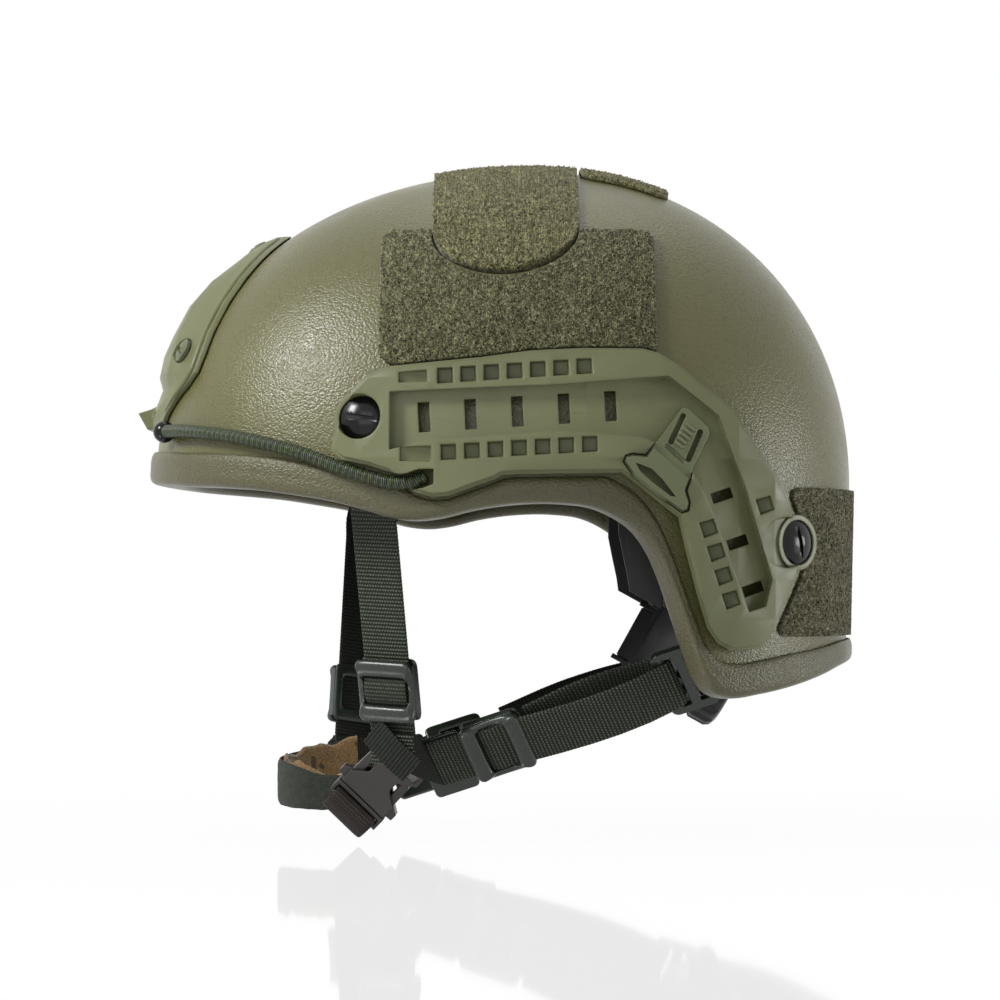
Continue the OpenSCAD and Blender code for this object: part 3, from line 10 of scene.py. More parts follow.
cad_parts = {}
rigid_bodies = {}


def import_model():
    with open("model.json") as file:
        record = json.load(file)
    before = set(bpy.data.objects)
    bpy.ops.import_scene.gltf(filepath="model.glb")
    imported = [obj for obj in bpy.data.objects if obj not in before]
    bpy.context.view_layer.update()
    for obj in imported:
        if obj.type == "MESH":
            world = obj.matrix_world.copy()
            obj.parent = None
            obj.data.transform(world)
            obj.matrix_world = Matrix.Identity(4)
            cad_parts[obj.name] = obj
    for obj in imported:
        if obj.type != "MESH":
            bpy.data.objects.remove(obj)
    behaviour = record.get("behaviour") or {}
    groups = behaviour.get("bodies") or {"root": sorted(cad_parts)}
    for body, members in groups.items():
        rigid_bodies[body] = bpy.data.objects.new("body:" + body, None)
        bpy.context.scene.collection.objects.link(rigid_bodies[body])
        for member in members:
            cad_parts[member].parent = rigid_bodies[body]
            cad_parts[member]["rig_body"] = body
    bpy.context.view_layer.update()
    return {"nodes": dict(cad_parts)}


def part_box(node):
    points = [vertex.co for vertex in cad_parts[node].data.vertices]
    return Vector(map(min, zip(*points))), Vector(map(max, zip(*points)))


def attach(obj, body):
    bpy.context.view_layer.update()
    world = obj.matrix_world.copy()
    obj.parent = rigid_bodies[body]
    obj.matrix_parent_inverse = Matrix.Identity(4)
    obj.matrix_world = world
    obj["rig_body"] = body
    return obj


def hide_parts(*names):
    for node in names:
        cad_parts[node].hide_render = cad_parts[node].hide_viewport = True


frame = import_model()
nodes = frame["nodes"]
scene = bpy.context.scene
mm = 0.001
noise.seed_set(5)
print("frame loaded")


def addObject(name, data):
    made = bpy.data.objects.new(name, data)
    scene.collection.objects.link(made)
    return made


# Camera

cameraView = {"distance": 1.5, "aimY": -0.0012, "height": -0.034, "lens": 135, "sensor": 36}


def makeCamera(view):
    data = bpy.data.cameras.new("camera")
    data.lens = view["lens"]
    data.sensor_width = view["sensor"]
    camera = addObject("camera", data)
    camera.location = (view["distance"], view["aimY"], view["height"])
    aim = Vector((0, view["aimY"], 0)) - camera.location
    camera.rotation_euler = aim.to_track_quat("-Z", "Y").to_euler()
    scene.camera = camera


makeCamera(cameraView)
print("camera placed")

# Node and colour helpers


def tint(code):
    parts = [int(code[i:i + 2], 16) / 255 for i in (0, 2, 4)]
    return [c / 12.92 if c <= 0.04045 else ((c + 0.055) / 1.055) ** 2.4 for c in parts] + [1.0]


def put(tree, kind, inputs=None, **options):
    made = tree.nodes.new("ShaderNode" + kind)
    for key, value in options.items():
        setattr(made, key, value)
    for key, value in (inputs or {}).items():
        if isinstance(value, bpy.types.NodeSocket):
            tree.links.new(value, made.inputs[key])
        else:
            made.inputs[key].default_value = tint(value) if isinstance(value, str) else value
    return made


def calc(tree, operation, a, b=0.0):
    return put(tree, "Math", {0: a, 1: b}, operation=operation).outputs[0]


def summed(tree, *parts):
    total = None
    for source, weight in parts:
        part = calc(tree, "MULTIPLY", source, weight)
        total = part if total is None else calc(tree, "ADD", total, part)
    return total


def ramp(tree, source, stops, kind="LINEAR"):
    made = put(tree, "ValToRGB", {"Fac": source})
    made.color_ramp.interpolation = kind
    points = made.color_ramp.elements
    while len(points) < len(stops):
        points.new(0.5)
    for point, (place, colour) in zip(points, stops):
        point.position = place
        point.color = tint(colour) if isinstance(colour, str) else (colour, colour, colour, 1)
    return made.outputs[0]


def toned(tree, source, look, *stops):
    return ramp(tree, source, [(stop, look[key]) for stop, key in zip(stops, ("dark", "base", "light", "pale"))])


def blendColour(tree, share, a, b):
    return put(tree, "Mix", {0: share, 6: a, 7: b}, data_type="RGBA").outputs[2]


def objectPlace(tree):
    return put(tree, "TexCoord").outputs["Object"]


def uvParts(tree):
    return put(tree, "SeparateXYZ", {0: put(tree, "TexCoord").outputs["UV"]}).outputs


def shifted(tree, place, **how):
    return put(tree, "Mapping", {"Vector": place, **how}).outputs[0]


def noiseOf(tree, place, scale, detail=2.0, distortion=0.0):
    return put(tree, "TexNoise", {
        "Vector": place, "Scale": scale, "Detail": detail, "Roughness": 0.5, "Distortion": distortion,
    }).outputs[0]


def waveOf(tree, coordinate, pitch):
    turns = calc(tree, "MULTIPLY", coordinate, 2 * math.pi / pitch)
    return calc(tree, "MULTIPLY_ADD", calc(tree, "SINE", turns), 0.5)


def patchyRough(tree, place, scale, look):
    low, high = look["rough"]
    return ramp(tree, noiseOf(tree, place, scale, 3), [(0.3, low), (0.7, high)])


def startMaterial(name, rough=0.5, shine=0.5, sheen=0.0):
    material = bpy.data.materials.new(name)
    material.use_nodes = True
    tree = material.node_tree
    values = {"Roughness": rough, "Specular IOR Level": shine, "Sheen Weight": sheen, "Sheen Roughness": 0.5}
    for key, value in values.items():
        tree.nodes["Principled BSDF"].inputs[key].default_value = value
    return material, tree, objectPlace(tree)


def finishMaterial(material, colour, height, depth, strength, rough=None, edge=0.0):
    tree = material.node_tree
    bump = put(tree, "Bump", {"Height": height, "Strength": strength, "Distance": depth})
    if edge:
        softEdge = put(tree, "Bevel", {"Radius": edge}, samples=6)
        tree.links.new(softEdge.outputs[0], bump.inputs["Normal"])
    for key, source in (("Base Color", colour), ("Normal", bump.outputs[0]), ("Roughness", rough)):
        if source is not None:
            tree.links.new(source, tree.nodes["Principled BSDF"].inputs[key])
    return material


# Materials


def tableOf(keys, rows):
    return {name: dict(zip(keys.split(), row)) for name, row in rows.items()}


coatLooks = tableOf("dark base light cell depth strength rough shine", {
    "shellCoating": ("47452f", "5c5a35", "646239", 0.00095, 0.00017, 0.95, (0.27, 0.36), 0.45),
    # The edge band carries the shell's paint in darker tones throughout: painted shade on the band.
    "edgeBandCoating": ("36341f", "524f36", "5d5a3c", 0.0009, 0.00022, 1.0, (0.3, 0.42), 0.42),
})


def makeCoating(name, look):
    cell = look["cell"]
    material, tree, place = startMaterial(name, shine=look["shine"])
    leaning = shifted(tree, place, Rotation=(0.7, 0, 0), Scale=(1, 0.8, 1.1))
    warp = put(tree, "TexNoise", {"Vector": leaning, "Scale": 0.7 / cell}).outputs[1]
    bent = put(tree, "VectorMath", {0: warp, 1: (cell,) * 3}, operation="MULTIPLY").outputs[0]
    bent = put(tree, "VectorMath", {0: leaning, 1: bent}, operation="ADD").outputs[0]
    cells = put(tree, "TexVoronoi", {"Vector": bent, "Scale": 1 / cell}).outputs[0]
    pebble = calc(tree, "SUBTRACT", calc(tree, "MULTIPLY", noiseOf(tree, place, 2.4 / cell), 0.35), cells)
    broad = ramp(tree, noiseOf(tree, place, 7, 3), [(0.35, 0.0), (0.68, 1.0)])
    body = blendColour(tree, broad, look["base"], look["light"])
    # Painted shade: the grain's creases at the cell edges are darkened towards the dark tone, by up to 0.45.
    colour = blendColour(tree, ramp(tree, cells, [(0.5, 0.0), (0.95, 0.45)]), body, look["dark"])
    rough = patchyRough(tree, place, 60, look)
    return finishMaterial(material, colour, pebble, look["depth"], look["strength"], rough)


mouldLooks = tableOf("dark base light rough shine edge", {
    "rail": ("54573c", "686b4b", "6f7250", (0.34, 0.46), 0.38, 0.0009),
    "clip": ("50563b", "62684a", "6a7050", (0.32, 0.44), 0.38, 0.0006),
    "liner": ("0b0b0b", "121212", "1a1a1a", (0.36, 0.52), 0.35, 0.0006),
    "slider": ("191e19", "272d26", "303730", (0.2, 0.32), 0.45, 0.0006),
    "buckle": ("1f1c1a", "2d2926", "37322d", (0.26, 0.4), 0.45, 0.0007),
    "knob": ("0b0b0b", "131312", "1b1b1a", (0.36, 0.52), 0.35, 0.0006),
})


def makeMoulded(name, look):
    material, tree, place = startMaterial(name, shine=look["shine"])
    broad = ramp(tree, noiseOf(tree, place, 22, 3), [(0.35, 0.0), (0.65, 1.0)])
    body = blendColour(tree, broad, look["base"], look["light"])
    scuffs = noiseOf(tree, shifted(tree, place, Rotation=(0.5, 0.3, 0.2), Scale=(1, 0.08, 1)), 900)
    colour = blendColour(tree, ramp(tree, scuffs, [(0.66, 0.0), (0.8, 0.5)]), body, look["dark"])
    rough = patchyRough(tree, place, 120, look)
    return finishMaterial(material, colour, noiseOf(tree, place, 1500), 0.00005, 0.35, rough, look["edge"])


metalLooks = tableOf("base light rough shine", {
    "blackGloss": ("060606", "0e0e0e", (0.14, 0.24), 0.28),
    "darkMetal": ("1a1a1a", "262625", (0.35, 0.5), 0.5),
    "oliveMetal": ("555b3e", "636a4a", (0.3, 0.42), 0.5),
})


def makePainted(name, look):
    material, tree, place = startMaterial(name, shine=look["shine"])
    spots = ramp(tree, noiseOf(tree, place, 260, 4), [(0.4, 0.0), (0.7, 1.0)])
    colour = blendColour(tree, spots, look["base"], look["light"])
    rough = patchyRough(tree, place, 90, look)
    return finishMaterial(material, colour, noiseOf(tree, place, 700), 0.00004, 0.3, rough)


loopLooks = tableOf("dark base light pale", {
    "side": ("26271a", "535238", "858362", "a5a280"),
    "crown": ("30311e", "5f5d3d", "8e8a65", "aba77f"),
    "rear": ("2b2c1e", "57553d", "827f64", "9d9a80"),
})


def makeLoop(name, look):
    material, tree, place = startMaterial(name, rough=0.9, shine=0.15, sheen=0.25)
    yarn = noiseOf(tree, place, 1250, 1.5, 1.2)
    mixed = summed(tree, (yarn, 0.72), (noiseOf(tree, place, 420), 0.28))
    colour = toned(tree, mixed, look, 0.36, 0.48, 0.58, 0.68)
    return finishMaterial(material, colour, noiseOf(tree, place, 2600), 0.0003, 0.6)


# The near-side front and rear straps and the slider folds use the lighter "near" copy of the webbing, the far-side
# straps the darker "dark" copy: painted light on the near side, painted shade on the far side.
webLooks = tableOf("dark base light pitch", {
    "near": ("0f120c", "262b22", "697060", 0.00145),
    "dark": ("090b09", "141712", "353a2c", 0.00145),
    "brown": ("15110f", "2b2522", "453c36", 0.0011),
})


def makeWebbing(name, look):
    material, tree, place = startMaterial(name, rough=0.65, shine=0.22)
    across, along, _ = uvParts(tree)
    rows = calc(tree, "FLOOR", calc(tree, "MULTIPLY", along, 1 / look["pitch"]))
    yarn = waveOf(tree, calc(tree, "ADD", across, calc(tree, "MULTIPLY", rows, 0.0006)), 0.0012)
    height = summed(tree, (waveOf(tree, along, look["pitch"]), 0.62), (yarn, 0.38))
    # The tone follows the rib height: painted shade in the grooves between ribs and painted light on the rib tops,
    # mixed with random yarn tone.
    tone = summed(tree, (height, 0.7), (noiseOf(tree, place, 1400, 3), 0.4))
    return finishMaterial(material, toned(tree, tone, look, 0.3, 0.62, 0.95), height, 0.00022, 0.8)


# The light tone is the cord's highlight colour, painted on the thread crests.
bungeeLook = {"dark": "090b06", "base": "1c2413", "light": "6a7852", "thread": 0.00085, "slant": 3}


def makeBraid(name, look):
    material, tree, place = startMaterial(name, rough=0.4, shine=0.3)
    turn, along, _ = uvParts(tree)
    around = calc(tree, "MULTIPLY", turn, look["slant"] * look["thread"])
    height = waveOf(tree, calc(tree, "ADD", along, around), look["thread"])
    strands = waveOf(tree, calc(tree, "SUBTRACT", along, around), look["thread"] * 3)
    # The tone follows the thread height: painted highlight along the thread crests and painted shade between the
    # threads, with strand and fleck tone.
    tone = summed(tree, (height, 0.5), (strands, 0.2), (noiseOf(tree, place, 1100), 0.45))
    return finishMaterial(material, toned(tree, tone, look, 0.25, 0.6, 0.98), height, 0.00022, 0.8)


clothLooks = tableOf("dark base light weave sheen", {
    "pad": ("0b0b0b", "171717", "252524", 0.0011, 0.2),
    "cupOuter": ("191c17", "2b2f28", "3c4138", 0.0007, 0.1),
})


def makeCloth(name, look):
    material, tree, place = startMaterial(name, rough=0.82, shine=0.2, sheen=look["sheen"])
    x, y, z = put(tree, "SeparateXYZ", {0: place}).outputs
    warp = waveOf(tree, calc(tree, "ADD", x, y), look["weave"])
    height = calc(tree, "ADD", warp, waveOf(tree, z, look["weave"]))
    # The tone partly follows the weave height: painted shade between the threads, with random tone.
    tone = summed(tree, (height, 0.3), (noiseOf(tree, place, 500, 3), 0.6))
    return finishMaterial(material, toned(tree, tone, look, 0.3, 0.55, 0.85), height, 0.00015, 0.6)


fleeceLook = {"brown": "94764e", "dark": "5d4d35", "green": "8c8964", "tan": "d2bf93", "root": "1a140d"}


def makeFleece(name, look):
    material, tree, place = startMaterial(name, rough=0.95, shine=0.1, sheen=0.4)
    blotches = noiseOf(tree, place, 55, 2, 0.8)
    base = ramp(tree, blotches, [(0.0, look["dark"]), (0.42, look["brown"]), (0.6, look["green"])], "CONSTANT")
    more = noiseOf(tree, shifted(tree, place, Location=(0.31, 0.17, 0.05)), 48, 2, 0.8)
    mixed = blendColour(tree, ramp(tree, more, [(0.0, 0.0), (0.62, 1.0)], "CONSTANT"), base, look["tan"])
    fuzz = noiseOf(tree, place, 1500, 3)
    # Painted shade: the fleece is darkened towards the root tone where the fuzz height is low, between the fibres.
    colour = blendColour(tree, ramp(tree, fuzz, [(0.35, 0.5), (0.6, 0.0)]), mixed, look["root"])
    return finishMaterial(material, colour, fuzz, 0.0006, 0.8)


coating, trimCoating = (makeCoating(name, look) for name, look in coatLooks.items())
moulded = {key: makeMoulded(key + "Plastic", look) for key, look in mouldLooks.items()}
painted = {key: makePainted(key, look) for key, look in metalLooks.items()}
loopPile = {key: makeLoop(key + "LoopPile", look) for key, look in loopLooks.items()}
webbing = {key: makeWebbing(key + "Webbing", look) for key, look in webLooks.items()}
braid = makeBraid("bungeeBraid", bungeeLook)
cloth = {key: makeCloth(key + "Cloth", look) for key, look in clothLooks.items()}
fleece = makeFleece("cupFleece", fleeceLook)
print("materials made")

# Mesh helpers

weldReach = 0.002


def newPiece(name, node, bm, material, slot, body="helmet", sharp=40, outward=True):
    if outward:
        bm.normal_update()
        bmesh.ops.recalc_face_normals(bm, faces=bm.faces)
        if bm.calc_volume(signed=True) < 0:
            bmesh.ops.reverse_faces(bm, faces=bm.faces)
    bmesh.ops.scale(bm, vec=(mm, mm, mm), verts=bm.verts)
    mesh = bpy.data.meshes.new(name)
    bm.to_mesh(mesh)
    bm.free()
    mesh.materials.append(material)
    mesh.shade_smooth()
    mesh.set_sharp_from_angle(angle=math.radians(sharp))
    piece = addObject(name, mesh)
    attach(piece, body)
    if node:
        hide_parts(node)
    return piece


def bentGrid(across, along, place, uvOf=None):
    bm = bmesh.new()
    layer = bm.loops.layers.uv.new("UVMap")
    bmesh.ops.create_grid(bm, x_segments=across, y_segments=along, size=0.5, calc_uvs=True)
    spots = {v: (v.co.x + 0.5, v.co.y + 0.5) for v in bm.verts}
    for face in bm.faces:
        for loop in face.loops:
            u, v = spots[loop.vert]
            loop[layer].uv = uvOf(u, v) if uvOf else (u, v)
    for vertex, (u, v) in spots.items():
        vertex.co = place(u, v)
    return bm


def bentPiece(name, node, across, along, place, material, slot, uvOf=None, **options):
    bm = bentGrid(across, along, place, uvOf)
    bmesh.ops.remove_doubles(bm, verts=bm.verts, dist=weldReach)
    bmesh.ops.holes_fill(bm, edges=[e for e in bm.edges if e.is_boundary], sides=0)
    return newPiece(name, node, bm, material, slot, **options)


def mix(a, b, t):
    return a + (b - a) * t


def clamp(t):
    return min(1.0, max(0.0, t))


def lookup(x, table):
    if x <= table[0][0]:
        return table[0][1]
    for (x0, y0), (x1, y1) in zip(table, table[1:]):
        if x <= x1:
            return mix(y0, y1, (x - x0) / (x1 - x0))
    return table[-1][1]


tiny = 1e-9


def smoothLine(points, perSpan):
    points = [Vector(p) for p in points]
    last = len(points) - 1

    def tangent(i):
        back, ahead = points[i] - points[max(0, i - 1)], points[min(last, i + 1)] - points[i]
        if back.length < tiny or ahead.length < tiny:
            return (back + ahead).normalized()
        return (back.normalized() / back.length + ahead.normalized() / ahead.length).normalized()

    line = []
    for i in range(last):
        a, b = points[i], points[i + 1]
        reach = (b - a).length
        ta, tb = tangent(i) * reach, tangent(i + 1) * reach
        for k in range(perSpan):
            t = k / perSpan
            line.append(
                a * (2 * t ** 3 - 3 * t ** 2 + 1) + ta * (t ** 3 - 2 * t ** 2 + t)
                + b * (3 * t ** 2 - 2 * t ** 3) + tb * (t ** 3 - t ** 2))
    return line + [points[-1]]


def evenly(line, step):
    total = sum((b - a).length for a, b in zip(line, line[1:]))
    count = max(2, round(total / step))
    marks, walked, i = [], 0.0, 0
    for k in range(count + 1):
        want = total * k / count
        while i < len(line) - 2 and walked + (line[i + 1] - line[i]).length < want:
            walked += (line[i + 1] - line[i]).length
            i += 1
        span = (line[i + 1] - line[i]).length
        marks.append(line[i].lerp(line[i + 1], clamp((want - walked) / max(span, tiny))))
    return marks, total


def runAt(marks, i):
    return (marks[min(len(marks) - 1, i + 1)] - marks[max(0, i - 1)]).normalized()


# Shell form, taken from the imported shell's box

shellLow, shellHigh = (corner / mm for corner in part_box("shell"))
shellForm = {
    "midY": 11.0, "domeZ": 5.0, "wall": 8.0, "planPow": 2.3, "domePow": 2.1, "tuck": 0.00018, "slantZ": 2.2,
    "round": 320, "rows": 132, "rimLift": 2.4,
}
midY, domeZ, wall = shellForm["midY"], shellForm["domeZ"], shellForm["wall"]
planPow, domePow, slantZ = shellForm["planPow"], shellForm["domePow"], shellForm["slantZ"]
halfWidth = shellHigh.x
frontReach, rearReach = midY - shellLow.y, shellHigh.y - midY
domeHigh = shellHigh.z - domeZ


def level(z, off):
    if z > domeZ:
        return max(0.0, 1 - ((z - domeZ) / (domeHigh + off)) ** domePow) ** (1 / domePow)
    return 1 - shellForm["tuck"] * (domeZ - z)


def reachOf(y, off):
    return (frontReach if y < midY else rearReach) + off


def restOf(z, share, off):
    return max(0.0, level(z, off) ** planPow - share ** planPow) ** (1 / planPow)


def sideX(y, z, off):
    return (halfWidth + off) * restOf(z, abs(y - midY) / reachOf(y, off), off)


def endY(x, z, off, rear):
    way = rearReach + off if rear else -(frontReach + off)
    return midY + way * restOf(z, abs(x) / (halfWidth + off), off)


def topZ(x, y, off):
    across, along = abs(x) / (halfWidth + off), abs(y - midY) / reachOf(y, off)
    share = (across ** planPow + along ** planPow) ** (1 / planPow)
    return domeZ + (domeHigh + off) * max(0.0, 1 - share ** domePow) ** (1 / domePow)


def onSide(way):
    return lambda y, z, off: Vector((way * sideX(y, z, off), y, z))


def onEnd(rear):
    return lambda x, z, off: Vector((x, endY(x, z, off, rear), z))


def onTop(x, y, off):
    return Vector((x, y, topZ(x, y, off)))


def outwardAt(p):
    reach = reachOf(p.y, 0)
    ax, ay = abs(p.x) / halfWidth, abs(p.y - midY) / reach
    az = max(0.0, (p.z - domeZ) / domeHigh)
    k = ((ax ** planPow + ay ** planPow) ** (1 / planPow)) ** (domePow - planPow)
    return Vector((
        k * ax ** (planPow - 1) * math.copysign(1, p.x) / halfWidth,
        k * ay ** (planPow - 1) * math.copysign(1, p.y - midY) / reach,
        az ** (domePow - 1) / domeHigh,
    )).normalized()


def planSpot(turn):
    c, s = math.cos(turn), math.sin(turn)
    r = (abs(c) ** planPow + abs(s) ** planPow) ** (-1 / planPow)
    return c * r, s * r


def stationY(spot, share=1.0, off=0.0):
    return midY + ((frontReach if spot[1] < 0 else rearReach) + off) * share * spot[1]


def planPoint(spot, share, z, off):
    return Vector(((halfWidth + off) * share * spot[0], stationY(spot, share, off), z))


rimLine = [
    (-138, 5.6), (-136.6, 5.4), (-132, 4.8), (-123, 3.9), (-110, 3.1), (-95, 1.9), (-80, -0.2), (-65, -2.8),
    (-52, -6.2), (-43, -9), (-34, -10), (-24, -9), (-12, -6.2), (4, -4), (22, -3.8), (34, -5.4), (43, -9.2),
    (50, -14), (56, -21.6), (62, -34), (68, -50), (72.5, -62), (76, -70), (80, -74.5), (87, -76.5),
    (98, -75.3), (112, -72.4), (124, -68.7), (132, -65.6), (136.4, -64.4), (138, -64),
]
rimTable = [(p.x, p.y) for p in smoothLine([(y, z, 0) for y, z in rimLine], 6)]
railFoot = [
    (-50.5, 10.5), (-43, 8), (-33, 0.5), (-26, -1.5), (-20, -1), (-9, 3), (-3, 5), (-0.5, 6.5), (5.5, 7), (44, 7.5),
]


def rimHeight(spot):
    return lookup(stationY(spot), rimTable)


def riseOf(z):
    if z > domeZ:
        return math.degrees(math.asin(((z - domeZ) / domeHigh) ** (domePow / 2)))
    return (z - domeZ) / slantZ


def risePoint(spot, rise, off):
    if rise > 0:
        high = domeZ + (domeHigh + off) * math.sin(math.radians(rise)) ** (2 / domePow)
        share = max(0.0, math.cos(math.radians(rise))) ** (2 / domePow)
        return planPoint(spot, share, high, off)
    return planPoint(spot, 1 + shellForm["tuck"] * rise * slantZ, domeZ + rise * slantZ, off)


def makeShell():
    rows = shellForm["rows"]
    half = rows / 2

    def place(u, v):
        spot, row = planSpot(2 * math.pi * u), round(v * (rows + 1))
        inner = row <= half
        share = (half - row) / half if inner else (row - half - 1) / half
        rise = mix(riseOf(rimHeight(spot) + shellForm["rimLift"]), 90, share)
        return risePoint(spot, rise, -wall if inner else 0.0)

    bentPiece("helmet_shell", "shell", shellForm["round"], rows + 1, place, coating, "shell_coating", sharp=60)


trimForm = {
    "high": 13.0, "out": 2.4, "seat": 0.3, "skin": 0.6, "round": 360, "underRail": (-50, 44), "gap": 1.2,
    "rearFrom": 110, "rearOver": 28, "rearShare": 0.7,
}


def trimHeight(spot, z):
    y = stationY(spot)
    start, end = trimForm["underRail"]
    room = lookup(y, railFoot) - z - trimForm["gap"] if start < y < end else trimForm["high"]
    full = trimForm["high"] * mix(1, trimForm["rearShare"], clamp((y - trimForm["rearFrom"]) / trimForm["rearOver"]))
    return min(full, room)


def trimSection(high):
    out, seat, skin = trimForm["out"], trimForm["seat"], trimForm["skin"]
    inside = -wall - out * 0.7
    loop = [
        (seat, high - 0.6), (out * 0.45, high), (out * 0.86, high - 1.4), (out, high - 3.2),
        (out, high * 0.5), (out, 3.2), (out * 0.75, 1.4), (out * 0.2, 0.4), (-1.5, 0), (-wall * 0.5, -0.15),
        (seat - wall, 0), (-wall - out * 0.45, 1.1), (inside, 2.6), (inside, high * 0.5),
        (inside, high - 3.2), (-wall - out * 0.5, high - 1.6), (-wall - skin, high - 1.2),
        (-wall - skin, 2.1), (seat, 2.1),
    ]
    points = [Vector((a, b, 0)) for a, b in loop]
    return smoothLine(points[:-2], 3) + points[-2:]


def makeTrim():
    around, count = trimForm["round"], len(trimSection(trimForm["high"]))
    loops = {}

    def place(u, v):
        k = round(u * around) % around
        if k not in loops:
            spot = planSpot(2 * math.pi * k / around)
            z = rimHeight(spot)
            loops[k] = (spot, z, trimSection(trimHeight(spot, z)))
        spot, z, points = loops[k]
        point = points[round(v * count) % count]
        high = z + point.y
        return planPoint(spot, level(high, point.x), high, point.x)

    bentPiece("helmet_edge_band", "edge_trim", around, count, place, trimCoating, "edge_band", sharp=70)


makeShell()
makeTrim()
print("shell and edge band made")

# Loop patches: a sheet cut to its outline, with a pile drawn out of every cell

pileForm = {
    "base": 1.9, "skin": 0.3, "low": 0.35, "high": 0.95, "lean": 0.55, "tip": 0.4, "jitter": 0.12, "probe": 0.05,
    "snap": 1.5,
}


def rounded(y, z, low, high, corner):
    midA, midB = (low[0] + high[0]) / 2, (low[1] + high[1]) / 2
    a = abs(y - midA) - (high[0] - low[0]) / 2 + corner
    b = abs(z - midB) - (high[1] - low[1]) / 2 + corner
    return math.hypot(max(a, 0), max(b, 0)) + min(max(a, b), 0) - corner


def scatter(chance, reach):
    return Vector([chance.uniform(-reach, reach) for _ in range(3)])


def snapToOutline(vertex, away):
    probe, snap = pileForm["probe"], pileForm["snap"]
    for _ in range(2):
        a, b = vertex.co.xy
        here = away(a, b)
        slope = Vector((away(a + probe, b) - here, away(a, b + probe) - here)) / probe
        vertex.co.xy -= slope * min(snap, max(-snap, here / max(slope.length_squared, 0.2)))


def makePatch(name, node, low, high, cell, away, lift, look, seed):
    chance = random.Random(seed)
    bm = bentGrid(
        round((high[0] - low[0]) / cell), round((high[1] - low[1]) / cell),
        lambda u, v: Vector((mix(low[0], high[0], u), mix(low[1], high[1], v), 0)))
    outside = [f for f in bm.faces if away(*f.calc_center_median().xy) > 0]
    bmesh.ops.delete(bm, geom=outside, context="FACES")
    for vertex in [v for v in bm.verts if v.is_boundary]:
        snapToOutline(vertex, away)
    flat = {v: v.co.xy.copy() for v in bm.verts}
    made = bmesh.ops.extrude_face_region(bm, geom=list(bm.faces))
    pileFeet = [v for v in made["geom"] if isinstance(v, bmesh.types.BMVert)]
    atFoot = set(pileFeet)
    for vertex in bm.verts:
        spot = flat.get(vertex, vertex.co.xy)
        vertex.co = lift(spot[0], spot[1], pileForm["base"] if vertex in atFoot else pileForm["skin"])
    for vertex in pileFeet:
        vertex.co += scatter(chance, pileForm["jitter"])
    bm.normal_update()
    crown = [f for f in bm.faces if all(v in atFoot for v in f.verts)]
    for face in bmesh.ops.extrude_discrete_faces(bm, faces=crown)["faces"]:
        centre, normal = face.calc_center_median(), face.normal.copy()
        drift = scatter(chance, 1) * pileForm["lean"]
        rise = chance.uniform(pileForm["low"], pileForm["high"])
        for vertex in face.verts:
            vertex.co = centre + (vertex.co - centre) * pileForm["tip"] + normal * rise + drift * rise
    newPiece(name, node, bm, loopPile[look], "loop_fabric", sharp=180)


crownForm = {"midY": 1.0, "wide": 56.0, "reach": 73.0, "bow": 16.0}
sidePatch = {"low": (-46.5, 48.6), "high": (57.5, 101.5), "corner": 5.5, "railGap": 0.8, "endGap": 0.3, "topGap": 0.1}
railTop = [(-51, 44), (-46, 46.5), (-41, 47.5), (-8.5, 50.5), (10, 53), (29, 54), (52, 54), (58, 52.5)]
rearCrown = {"low": (-32, 30.5), "high": (32, 65), "corner": 7}
rearBack = [(-55, 99), (-48, 103), (-31, 111), (-22, 113.5), (-13.5, 112), (2, 106)]
rearPatch = {"low": -53.5, "high": 3, "corner": 5, "wider": 1.2}


def crownEnd(y):
    v = (y - crownForm["midY"]) / (crownForm["wide"] / 2)
    return crownForm["reach"] + crownForm["bow"] * math.sqrt(max(0.0, 1 - v * v))


def crownAway(x, y):
    return max(abs(y - crownForm["midY"]) - crownForm["wide"] / 2, abs(x) - crownEnd(y))


def sideAway(y, z):
    form = sidePatch
    away = max(rounded(y, z, form["low"], form["high"], form["corner"]), lookup(y, railTop) + form["railGap"] - z)
    if abs(y - crownForm["midY"]) < crownForm["wide"] / 2 + form["endGap"]:
        away = max(away, z - topZ(crownEnd(y) + form["endGap"], y, 0) + form["topGap"])
    return away


def rearCrownAway(x, y):
    return rounded(x, y, rearCrown["low"], rearCrown["high"], rearCrown["corner"])


def rearWide(z):
    return sideX(lookup(z, rearBack) + rearPatch["wider"], z, 0)


def rearAway(x, z):
    wide = rearWide(z)
    return rounded(x, z, (-wide, rearPatch["low"]), (wide, rearPatch["high"]), rearPatch["corner"])


def makePatches():
    for name, way in (("left", 1), ("right", -1)):
        makePatch(
            "side_loop_patch_" + name, "side_patch_" + name, sidePatch["low"], sidePatch["high"], 0.78, sideAway,
            onSide(way), "side", 11 + way)
    middle, half = crownForm["midY"], crownForm["wide"] / 2
    reach = crownForm["reach"] + crownForm["bow"]
    makePatch(
        "crown_loop_strip", "crown_strip", (-reach, middle - half), (reach, middle + half), 0.86, crownAway, onTop,
        "crown", 21)
    makePatch(
        "crown_rear_loop_patch", "crown_rear_patch", rearCrown["low"], rearCrown["high"], 0.82, rearCrownAway, onTop,
        "crown", 31)
    wide = max(rearWide(z) for z in range(-53, 4, 4))
    makePatch(
        "rear_loop_patch", "rear_patch", (-wide, rearPatch["low"]), (wide, rearPatch["high"]), 0.88, rearAway,
        onEnd(True), "rear", 41)


makePatches()
print("loop patches made")

# Hard pieces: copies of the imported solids, cleaned and bevelled

